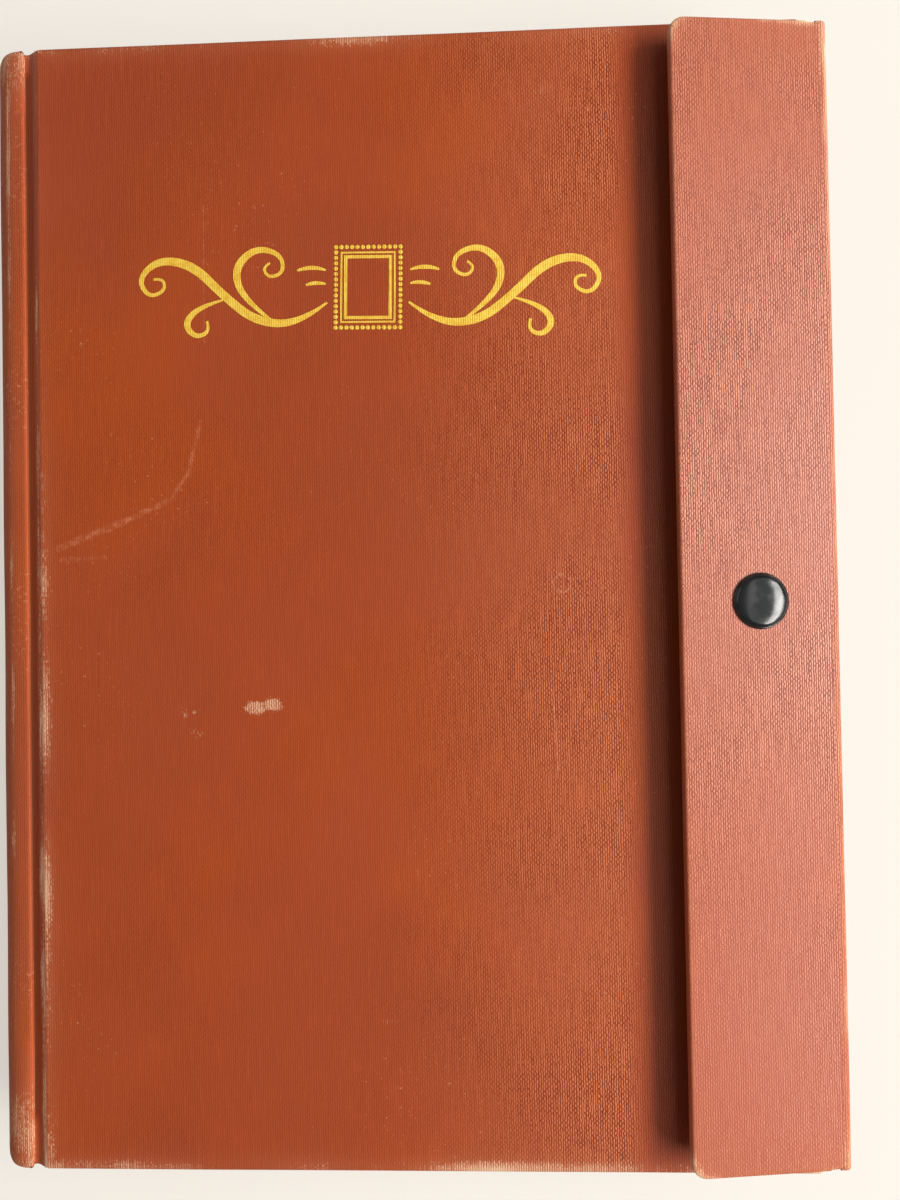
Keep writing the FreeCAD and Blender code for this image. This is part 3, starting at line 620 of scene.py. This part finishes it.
# geometry nodes
def newTree(name, sizes):
    tree = bpy.data.node_groups.new(name, "GeometryNodeTree")
    tree.interface.new_socket("Geometry", in_out="INPUT", socket_type="NodeSocketGeometry")
    tree.interface.new_socket("Geometry", in_out="OUTPUT", socket_type="NodeSocketGeometry")
    for label, kind in {**sizes, "Finish": "Material"}.items():
        tree.interface.new_socket(label, in_out="INPUT", socket_type="NodeSocket" + kind)
    given = tree.nodes.new("NodeGroupInput")
    return tree, Wire(tree), {socket.name: Wire(tree, socket) for socket in given.outputs if socket.name}


def endTree(wire, shape, take):
    real = wire.add("GeometryNodeRealizeInstances", {"Geometry": shape})
    painted = wire.add("GeometryNodeSetMaterial", {"Geometry": real, "Material": take["Finish"]})
    wire.add("NodeGroupOutput", {0: painted})


def rowTree():  # copies of a piece in a row along Y, each a little out of place
    tree, wire, take = newTree("rowAlongPage", {"Count": "Int", "Pitch": "Float", "Looseness": "Float", "Seed": "Int"})
    start = (take["Count"] - 1) * take["Pitch"] * -0.5
    start, step = wire.point(0.0, start), wire.point(0.0, take["Pitch"])
    line = wire.add("GeometryNodeMeshLine", {"Count": take["Count"], "Start Location": start, "Offset": step})
    ends = {2: take["Looseness"] * -1.0, 3: take["Looseness"], "Seed": take["Seed"]}
    shift = wire.add("FunctionNodeRandomValue", ends, 1, data_type="FLOAT")
    line = wire.add("GeometryNodeSetPosition", {"Geometry": line, "Offset": wire.point(0.0, shift)})
    copies = wire.add("GeometryNodeInstanceOnPoints", {"Points": line, "Instance": take["Geometry"]})
    endTree(wire, copies, take)
    return tree


def strokeTree():  # a flat pressed line along a curve, as wide as the curve's radius says
    tree, wire, take = newTree("foilStroke", {"Width": "Float", "Thickness": "Float"})
    section = wire.add("GeometryNodeCurvePrimitiveQuadrilateral", {"Width": take["Width"], "Height": take["Thickness"]})
    radius = wire.add("GeometryNodeInputRadius")
    inputs = {"Curve": take["Geometry"], "Profile Curve": section, "Scale": radius, "Fill Caps": True}
    line = wire.add("GeometryNodeCurveToMesh", inputs)
    endTree(wire, line, take)
    return tree


def edgeTree():  # copies of a piece round a rectangle
    sizes = {"Width": "Float", "Height": "Float", "Count": "Int", "Place": "Vector", "Turn": "Float"}
    tree, wire, take = newTree("stampEdge", sizes)
    edge = wire.add("GeometryNodeCurvePrimitiveQuadrilateral", {"Width": take["Width"], "Height": take["Height"]})
    spots = wire.add("GeometryNodeResampleCurve", {"Curve": edge, "Count": take["Count"]}, mode="COUNT")
    copies = wire.add("GeometryNodeInstanceOnPoints", {"Points": spots, "Instance": take["Geometry"]})
    turned = wire.point(0.0, 0.0, take["Turn"])
    inputs = {"Geometry": copies, "Translation": take["Place"], "Rotation": turned}
    placed = wire.add("GeometryNodeTransform", inputs)
    endTree(wire, placed, take)
    return tree


def grow(piece, tree, sizes):  # runs a tree on a piece and leaves a plain mesh
    modifier = piece.modifiers.new(tree.name, "NODES")
    modifier.node_group = tree
    for item in tree.interface.items_tree:
        if item.item_type == "SOCKET" and item.in_out == "INPUT" and item.name in sizes:
            modifier[item.identifier] = sizes[item.name]
    bpy.context.view_layer.update()
    mesh = bpy.data.meshes.new_from_object(piece.evaluated_get(bpy.context.evaluated_depsgraph_get()))
    mesh.name = piece.name
    name = piece.name
    bpy.data.objects.remove(piece)
    return place(name, mesh)


pageRow, foilLine, stampEdge = rowTree(), strokeTree(), edgeTree()

# the cloth case
frontLow, frontHigh = cad("front_cover_cloth")
backLow, backHigh = cad("back_cover_cloth")
spineLow, spineHigh = cad("spine_cloth")
stripLow, stripHigh = cad("fore_edge_cloth")

frontCover = {
    "outline": (frontLow.x, frontHigh.x, frontLow.y, frontHigh.y), "face": frontHigh.z,
    "thick": frontHigh.z - frontLow.z, "rounding": 1.0, "corners": [1.0, 1.6, 1.6, 1.0], "turnIn": 15.0, "waver": 0.1,
    "seed": 1.0, "wearWidth": 2.4,
    "wear": {"left": 0.82, "right": 0.6, "top": 0.56, "bottom": 0.84}, "cornerWear": [0.6, 0.7, 0.7, 0.4],
    "headFade": (5.0, 60.0, 0.3),
}
piece = wrapBoard("frontCoverCloth", frontCover, level, clothFront)
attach(piece, "front_cover")
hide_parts("front_cover_cloth")

backCover = {
    "outline": (backLow.x, backHigh.x, backLow.y, backHigh.y), "face": -backLow.z, "thick": backHigh.z - backLow.z,
    "rounding": 0.75, "corners": [0.8, 0.4, 0.4, 0.8], "turnIn": 15.0, "waver": 0.0, "seed": 2.0, "wearWidth": 2.2,
    "wear": {"left": 0.5, "right": 0.3, "top": 0.6, "bottom": 0.6}, "cornerWear": [0.6, 0.6, 0.6, 0.6],
}


def faceDown(x, y, z):
    return (x, y, -z)


piece = wrapBoard("backCoverCloth", backCover, faceDown, clothPlain)
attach(piece, "back_cover")
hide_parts("back_cover_cloth")

flapCloth = {
    "outline": (-36.0, -4.5, -128.0, 128.0), "face": 0.2, "thick": 2.4, "rounding": 0.7,
    "corners": [3.5, 0.3, 0.3, 3.5], "turnIn": 7.5, "waver": 0.03, "seed": 3.0, "wearWidth": 0.9,
    "wear": {"left": 0.35, "right": 0.1, "top": 0.66, "bottom": 0.6}, "cornerWear": [1.05, 0.45, 0.45, 1.05],
}
piece = wrapBoard("flapCloth", flapCloth, onFlap, clothFlap, lip=2.9)
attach(piece, "flap")
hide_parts("flap_cloth")

spineBend = {"shoulder": 7.4, "steps": 26, "half": spineHigh.y + 0.5, "rounding": 0.6, "thick": 2.0, "turnIn": 15.0,
             "stations": 44, "waver": 0.15, "seed": 4.0, "side": 1, "from": -130.0, "wearWidth": 18.0,
             "topShare": 0.55, "endWear": 1.0, "draw": 0.8, "drawLength": 3.0}


def shoulderWearAndShade(share):  # rubbed most where the shoulder turns, with painted shade towards the groove
    return 0.3 + 0.56 * exp(-((share - 0.74) / 0.06) ** 2) - 2.8 * max(share - 0.82, 0.0)


left, top, low, chord = spineLow.x, spineHigh.z, spineLow.z, spineHigh.x
r = spineBend["shoulder"]
# the roll beside the groove: across, up and wear, where wear below 0 is painted shade
lips = [(-0.75, -0.05, -0.2), (-0.5, -0.2, 0.3), (-0.32, -0.55, -0.2), (-0.2, -0.85, -0.5)]
spineProfile = [(chord + x, low - z, w) for x, z, w in reversed(lips)] + [(left + r, low, 0.3)]
spineProfile += arcPoints(left + r, low + r, r, 270, 180, spineBend["steps"], lambda k: shoulderWearAndShade(1 - k))[1:]
spineProfile += [(left, low + r + (top - low - 2 * r) * k / 4, 0.25) for k in (1, 2, 3)]
spineProfile += arcPoints(left + r, top - r, r, 180, 90, spineBend["steps"], shoulderWearAndShade)
spineProfile += [(chord + x, top + z, w) for x, z, w in lips]
spineClothPiece = sweepStrip("spineCloth", spineProfile, spineBend, clothSpinePaintedLighter)
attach(spineClothPiece, "spine")
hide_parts("spine_cloth")

spineCard = {"wall": 0.4, "card": 1.2, "short": 2.6, "back": 1.0}


def spineSection(inward):
    edge, middle, radius = chord - spineCard["back"], left + r, r - inward
    arcs = arcPoints(middle, low + r, radius, 270, 180, 12) + arcPoints(middle, top - r, radius, 180, 90, 12)
    return [(edge, low + inward)] + [spot[:2] for spot in arcs] + [(edge, top - inward)]


card = slab("spineCard", spineSection(spineCard["wall"]) + spineSection(spineCard["wall"] + spineCard["card"])[::-1],
            spineHigh.y - spineCard["short"] - 0.3, greyboard, 9)
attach(card, "spine")
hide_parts("spine_liner")

# the cloth pressed into the two grooves beside the spine
groove = {"half": spineHigh.y - 0.4, "rounding": 0.5, "thick": 1.2, "turnIn": 8.0, "stations": 44, "waver": 0.1,
          "seed": 6.0, "side": 1, "from": -100.0, "wearWidth": 8.0, "topShare": 0.5, "endWear": 0.7,
          "headFade": (60.0, 100.0, 0.35)}
# dip: across, up and wear; wear below 0 is painted shade down in the groove
dip = [(-0.55, -0.8, -0.5), (-0.2, -1.0, -0.8), (0.2, -1.02, -0.8), (0.7, -0.9, -0.45), (1.2, -0.65, -0.1),
       (1.7, -0.3, 0.45), (2.15, -0.02, 0.8), (2.6, 0.2, 0.95), (2.95, 0.37, 0.95), (3.25, 0.49, 0.9)]
piece = sweepStrip("frontGrooveCloth", [(chord + x, top + z, w) for x, z, w in dip], groove, clothPlain)
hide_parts("front_joint_cloth")
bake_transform(piece)

piece = sweepStrip("backGrooveCloth", [(chord + x, low - z, w) for x, z, w in dip],
                   {**groove, "side": -1, "seed": 7.0}, clothPlain)
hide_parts("back_joint_cloth")
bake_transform(piece)

# the fore-edge strip and its two folds
foreEdge = {"half": stripHigh.y, "rounding": 0.5, "thick": 3.0, "turnIn": 13.0, "stations": 40, "waver": 0.1,
            "seed": 8.0, "side": -1, "from": 97.0, "wearWidth": 2.0, "endWear": 0.75, "round": 1.6}
out = stripHigh.x
stripProfile = [(out, stripLow.z + (stripHigh.z - stripLow.z) * k / 8, 0.45 if k in (0, 8) else 0.2) for k in range(9)]
piece = sweepStrip("foreEdgeCloth", stripProfile, foreEdge, clothPlain)
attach(piece, "fore_edge")
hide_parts("fore_edge_cloth")

fr = foreEdge["round"]
bendLow = [(backHigh.x - 0.3, 0.0, 0.2), (out - fr - 1.2, 0.0, 0.3)]
bendLow += arcPoints(out - fr, fr, fr, 270, 360, 8, lambda k: 0.45 + 0.35 * sin(pi * k))
piece = sweepStrip("foreEdgeFold", bendLow, {**foreEdge, "thick": 1.1, "turnIn": 6.0, "seed": 9.0}, clothPlain)
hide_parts("fore_edge_fold_cloth")
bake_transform(piece)

tiltDegrees = degrees(flapTilt)
turnAt = onFlap(-fr, 0, 0.2 - fr)
bendHigh = [(out, turnAt[2] - 0.25, 0.5)]
bendHigh += [(p[0] + (out - turnAt[0] - fr), p[1], p[2]) for p in
             arcPoints(turnAt[0], turnAt[2], fr, 0, 90 - tiltDegrees, 9, lambda k: 0.52 + 0.33 * sin(pi * k))]
tail = onFlap(-fr - 0.9, 0, 0.13)
bendHigh += [(tail[0], tail[2], 0.3)]
flapBend = {**foreEdge, "thick": 1.0, "turnIn": 5.0, "seed": 10.0, "wearWidth": 15.0, "endWear": 0.9, "waver": 0.05}
piece = sweepStrip("flapFold", bendHigh, flapBend, clothFlap)
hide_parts("flap_fold_cloth")
turnAt[2] * mm
tail[0] * mm
tail[2] * mm
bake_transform(piece)
print("case: cloth over both covers, spine, strip and flap")

# sewing: guard, fold and thread
sewing = {"core": 1.5, "stitch": 34.0, "pitch": 46.0, "stitches": 5, "thread": 0.35, "ply": 0.18, "twist": 0.15,
          "twists": 14, "loose": 0.3, "rows": 64, "around": 20, "steps": 48, "plyAround": 6, "pull": 0.25}
foldAt = jointAt["leaf_1_turn"]
guardLow, guardHigh = cad("spine_guard")
flange = [(guardLow.x + x, -z) for x, z in ((0.0, 4.0), (0.25, 4.0), (0.3, 1.2), (1.0, 0.4), (2.0, 0.3))]
flange.append((guardHigh.x, -0.3))
flange = [(x, foldAt.z + z) for x, z in flange + [(x, -z) for x, z in reversed(flange)]]
guard = slab("spineGuard", flange, guardHigh.y, linen, 12)
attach(guard, "spine")
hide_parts("spine_guard")

coreHalf = cad("sewn_fold")[1].y
rows, around = sewing["rows"], sewing["around"]
verts = []
for k in range(rows + 1):
    y = -coreHalf + 2 * coreHalf * k / rows
    stitched = abs((y / sewing["pitch"] + 0.5) % 1 - 0.5) * sewing["pitch"] < sewing["stitch"] / 2
    radius = sewing["core"] * (0.97 if stitched else 1.0)
    for x, z in circle(around):
        pull = sewing["pull"] if stitched and x > 0.98 else 0.0  # the thread lies in a furrow
        verts.append((foldAt.x + (radius - pull) * x, y, foldAt.z + radius * z))
roll = newPiece("sewnFold", verts, tube(rows + 1, around), linen)
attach(roll, "spine")
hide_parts("sewn_fold")

# one stitch of two-ply thread, then a row of them
verts, faces = [], []
steps, around = sewing["steps"], sewing["plyAround"]
for ply in range(2):
    faces += tube(steps + 1, around, len(verts))
    for k in range(steps + 1):
        share = k / steps
        y = (share - 0.5) * sewing["stitch"]
        dive = -0.5 * max(0.0, abs(share - 0.5) * 2 - 0.93) / 0.07  # the ends go down into the fold
        twist = 2 * pi * (share * sewing["twists"] + ply / 2)
        cx = foldAt.x + sewing["core"] - sewing["thread"] * 0.7 + sewing["twist"] * cos(twist) + dive
        cz = foldAt.z + sewing["twist"] * sin(twist)
        verts += [(cx + x, y, cz + z) for x, z in circle(around, sewing["ply"])]
stitch = newPiece("sewingThread", verts, faces, threadPaint)
stitch = grow(stitch, pageRow, {"Count": sewing["stitches"], "Pitch": sewing["pitch"] * mm, "Seed": 4,
                                "Looseness": sewing["loose"] * mm, "Finish": threadPaint})
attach(stitch, "spine")
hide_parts("sewing_thread")
print("sewing: guard, fold and", sewing["stitches"], "stitches")

# leaves
leaf = {"count": 8, "reach": 8.0, "tab": 7.0, "gap": 1.65, "linen": 0.18, "hingeSteps": 12, "pockets": 9, "pitch": 27.0,
        "height": 24.0, "foot": 2.0, "slit": 0.15, "clear": 0.02, "film": 0.12, "bow": 0.04, "loose": 0.25,
        "glassine": 0.08, "sheetSteps": (28, 36), "float": 0.34, "wave": 0.2}
for number in range(1, leaf["count"] + 1):
    name = f"leaf{number}"
    cardLow, cardHigh = cad(f"leaf_{number}_card")
    above = number <= leaf["count"] / 2
    # linen hinge, curved out of the fold and pasted to the card
    faceZ = (cardLow.z - 0.1 if above else cardHigh.z + 0.1) - foldAt.z
    points = []
    lean = atan2(faceZ, leaf["reach"])
    z0 = leaf["gap"] * sin(lean)
    for k in range(leaf["hingeSteps"] + 1):
        t = k / leaf["hingeSteps"]
        x = leaf["gap"] * cos(lean) * (1 - t) + leaf["reach"] * t
        points.append((foldAt.x + x, foldAt.z + z0 + (faceZ - z0) * (t * 0.8 + 0.2 * t * t * (3 - 2 * t))))
    points += [(foldAt.x + leaf["reach"] + leaf["tab"] * k / 3, foldAt.z + faceZ) for k in (1, 2, 3)]
    hinge = slab(name + "Hinge", ribbon(points, leaf["linen"]), cad(f"leaf_{number}_hinge")[1].y, linen, 9)
    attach(hinge, f"leaf_{number}")
    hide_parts(f"leaf_{number}_hinge")
    # clear pockets: one strip for each face of the card, then the row of them
    pocketLow, pocketHigh = cad(f"leaf_{number}_pockets")
    verts, faces = [], []
    foot, tall = leaf["foot"], leaf["height"]
    section = [(0, 0), (foot, 0), (foot + 0.8, 0.5), (foot + 4, 0.8), (tall * 0.6, 1.0), (tall - 0.6, 0.9), (tall, 1.0)]
    for side, face in ((1, cardHigh.z), (-1, cardLow.z)):
        for x in (pocketLow.x, (pocketLow.x + pocketHigh.x) / 2, pocketHigh.x):
            rise = leaf["slit"] + (leaf["bow"] if x not in (pocketLow.x, pocketHigh.x) else 0.0)
            for points, clear in ((section, leaf["clear"]), (reversed(section), leaf["film"])):
                verts += [(x, y - tall / 2, face + side * (lift * rise + clear)) for y, lift in points]
        wide = len(section) * 2
        base = len(verts) - 3 * wide
        faces += tube(3, wide, base, False)
        for first in (base, base + 2 * wide):  # end faces, in quads across the thin section
            faces += [(first + k, first + k + 1, first + wide - 2 - k, first + wide - 1 - k)
                      for k in range(len(section) - 1)]
    strip = newPiece(name + "Pockets", verts, faces, film)
    strip = grow(strip, pageRow, {"Count": leaf["pockets"], "Pitch": leaf["pitch"] * mm, "Seed": number,
                                  "Looseness": leaf["loose"] * mm, "Finish": film})
    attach(strip, f"leaf_{number}")
    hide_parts(f"leaf_{number}_pockets")
    # glassine sheet with a slight wave
    veilLow, veilHigh = cad(f"leaf_{number}_interleaf")
    verts = []
    wide, long = leaf["sheetSteps"]
    pasted = cardHigh.z + (0.02 if above else 0.22)
    for layer in (0, 1):
        for i in range(wide + 1):
            for k in range(long + 1):
                x = veilLow.x + (veilHigh.x - veilLow.x) * i / wide
                y = veilLow.y + (veilHigh.y - veilLow.y) * k / long
                free = min(max((x - veilLow.x - 3.0) / 12, 0.0), 1.0)
                wave = 0.5 + 0.5 * noise.noise(Vector((x * 0.02, y * 0.025, number)))
                floating = cardHigh.z + leaf["float"] + leaf["wave"] * wave
                verts.append((x, y, pasted * (1 - free) + floating * free + layer * leaf["glassine"]))
    rowLong = long + 1
    layerSize = (wide + 1) * rowLong
    faces = sheet(wide + 1, rowLong) + sheet(wide + 1, rowLong, layerSize)
    rim = [i * rowLong for i in range(wide + 1)] + [wide * rowLong + k for k in range(1, long + 1)]
    rim += [i * rowLong + long for i in range(wide - 1, -1, -1)] + [k for k in range(long - 1, 0, -1)]
    faces += [(a, b, b + layerSize, a + layerSize) for a, b in zip(rim, rim[1:] + rim[:1])]
    veil = newPiece(name + "Glassine", verts, faces, glassine)
    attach(veil, f"leaf_{number}")
    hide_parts(f"leaf_{number}_interleaf")
print("leaves:", leaf["count"])

# snap
snap = {"reach": 18.0, "face": 0.2, "under": -2.45, "radius": 6.25, "post": 1.3, "socket": 1.7, "ring": 2.4,
        "wire": 0.25, "ringRise": 0.3}
capLow, capHigh = cad("snap_cap")
snapY = (capLow.y + capHigh.y) / 2


def onSnap(x, y, h):
    return onFlap(x - snap["reach"], y + snapY, h)


cap = [(0.0, snap["under"]), (snap["post"], snap["under"]), (snap["post"], snap["face"] + 0.02)]
# rolled rim, a fine step, a round shoulder, then a face that rises a little
for inward, lift in ((-0.25, 0.02), (-0.05, 0.1), (0.0, 0.28), (-0.04, 0.46), (-0.16, 0.6), (-0.3, 0.66),
                     (-0.4, 0.67), (-0.44, 0.74), (-0.52, 0.88), (-0.66, 1.04), (-0.88, 1.19), (-1.2, 1.32),
                     (-1.6, 1.43), (-2.2, 1.56), (-3.0, 1.69), (-4.0, 1.8), (-5.2, 1.88), (-6.25, 1.9)):
    cap.append((max(snap["radius"] + inward, 0.0), snap["face"] + lift))
piece = lathe("snapCap", cap, onSnap, enamel, 72)
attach(piece, "flap")
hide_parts("snap_cap")

below = snap["under"]
socket = [(radius, below - drop) for radius, drop in (
    (0.0, 0.02), (4.45, 0.02), (4.6, 0.2), (4.6, 1.35), (4.4, 1.62), (3.6, 1.7), (3.05, 1.66), (2.9, 1.5), (2.9, 0.25),
    (0.0, 0.25))]
piece = lathe("snapSocket", socket, onSnap, steel)
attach(piece, "flap")
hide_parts("snap_socket")

ringAt = below - snap["socket"] + snap["ringRise"]
ring = [(snap["ring"] + x, ringAt + z) for x, z in circle(12, snap["wire"])]
ring.append(ring[0])
piece = lathe("snapSpringRing", ring, onSnap, steel, 48)
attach(piece, "flap")
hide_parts("snap_spring_ring")

studLow, studHigh = cad("snap_stud")
studX, studZ = (studLow.x + studHigh.x) / 2, frontHigh.z


def onStud(x, y, h):
    return (studX + x, y + snapY, studZ + h)


stud = [(1.3, 0.03), (3.85, 0.03), (4.0, 0.12), (3.9, 0.25), (2.0, 0.3), (1.72, 0.5), (1.7, 1.25), (2.1, 1.6),
        (2.2, 1.75), (2.1, 1.92), (1.5, 2.05), (0.0, 2.05), (0.0, 1.02), (1.3, 1.02), (1.3, 0.03)]
piece = lathe("snapStud", stud, onStud, steel)
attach(piece, "front_cover")
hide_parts("snap_stud")
print("snap: cap, socket, ring and stud")

# gold ornament in the middle of the upper half: a blank stamp between two scrolls
ornament = {"middle": (-7.5, 72.0), "turn": -1.2, "width": 1.9, "thick": 0.08, "lift": 0.02, "stamp": (15.0, 18.75),
            "holes": 0.52, "pitch": 1.25}
# half of the scrolls, in millimetres from the middle: x, y and share of the full width
strokes = [
    [(9.5, -3.5, 0.25), (16, -8.5, 0.8), (26, -8.0, 1.1), (34, -1.5, 1.0), (41, 5.5, 1.15), (49, 7.0, 0.9),
     (54, 2.5, 0.6), (51.5, -2.0, 0.5), (47.5, -0.5, 0.42), (48.0, 2.6, 0.35), (50.3, 2.2, 0.3)],
    [(20.5, -9.0, 0.2), (29, -3.0, 0.7), (31.5, 4.5, 1.0), (26.5, 9.5, 0.8), (20.5, 8.0, 0.55), (19.5, 3.8, 0.45),
     (23.0, 2.2, 0.4), (24.8, 4.8, 0.32), (22.9, 5.8, 0.28)],
    [(33.0, -2.5, 0.2), (39, -4.0, 0.55), (43, -8.0, 0.85), (40.5, -11.5, 0.6), (36.8, -10.2, 0.42),
     (37.6, -7.6, 0.32)],
    [(9.8, 4.0, 0.2), (13.0, 5.2, 0.8), (16.5, 4.0, 0.25)], [(9.8, 0.8, 0.2), (12.0, 1.4, 0.7), (14.5, 0.6, 0.25)],
]
gold = bpy.data.curves.new("goldOrnament", "CURVE")
gold.dimensions = "3D"
gold.twist_mode = "Z_UP"
gold.resolution_u = 10
turn = radians(ornament["turn"])


def onOrnament(x, y):
    middle, c, s = ornament["middle"], cos(turn), sin(turn)
    return Vector((middle[0] + x * c - y * s, middle[1] + x * s + y * c, frontHigh.z + ornament["lift"])) * mm


def goldLine(points, closed=False, order=3):
    spline = gold.splines.new("NURBS" if order > 2 else "POLY")
    spline.points.add(len(points) - 1)
    for point, (x, y, width) in zip(spline.points, points):
        point.co = (*onOrnament(x, y), 1)
        point.radius = width
    if order > 2:
        spline.order_u = order
        spline.use_endpoint_u = not closed
    spline.use_cyclic_u = closed


for stroke in strokes:
    goldLine(stroke)
    goldLine([(-x, y, width) for x, y, width in stroke])
wide, tall = ornament["stamp"]
for inset, width in ((1.3, 0.32), (2.3, 0.55)):
    x, y = wide / 2 - inset, tall / 2 - inset
    goldLine([(-x, -y, width), (x, -y, width), (x, y, width), (-x, y, width)], True, 2)
scrolls = place("goldScrolls", gold)
scrolls = grow(scrolls, foilLine, {"Width": ornament["width"] * mm, "Thickness": ornament["thick"] * mm,
                                   "Finish": foil})
scrolls.data.shade_flat()
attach(scrolls, "front_cover")

# the row of perforations round the stamp: one dot, then a ring of them
verts, around = [], 10
for lift, radius in ((-0.04, ornament["holes"]), (0.0, ornament["holes"]), (0.015, ornament["holes"] * 0.8)):
    verts += [(x, y, lift) for x, y in circle(around, radius)]
dots = newPiece("goldPerforations", verts, tube(3, around), foil)
holes = round(2 * (wide + tall) / ornament["pitch"])
dots = grow(dots, stampEdge, {"Width": wide * mm, "Height": tall * mm, "Count": holes, "Place": onOrnament(0, 0),
                              "Turn": turn, "Finish": foil})
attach(dots, "front_cover")
print("ornament: scrolls and", holes, "perforations")

# finishes of the CAD pieces that stay
kept = {"board": greyboard, "endpaper": endpaper, "lining": endpaper, "card": leafCard, "snap_rivet": steel}
for node, thing in frame["nodes"].items():
    for ending, paintOn in kept.items():
        if node.endswith(ending):
            thing.data.materials.clear()
            thing.data.materials.append(paintOn)

# the spine cloth, spine card and guard each get a mesh of their own
for soft in (spineClothPiece, card):
    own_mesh(soft)
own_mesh(guard)
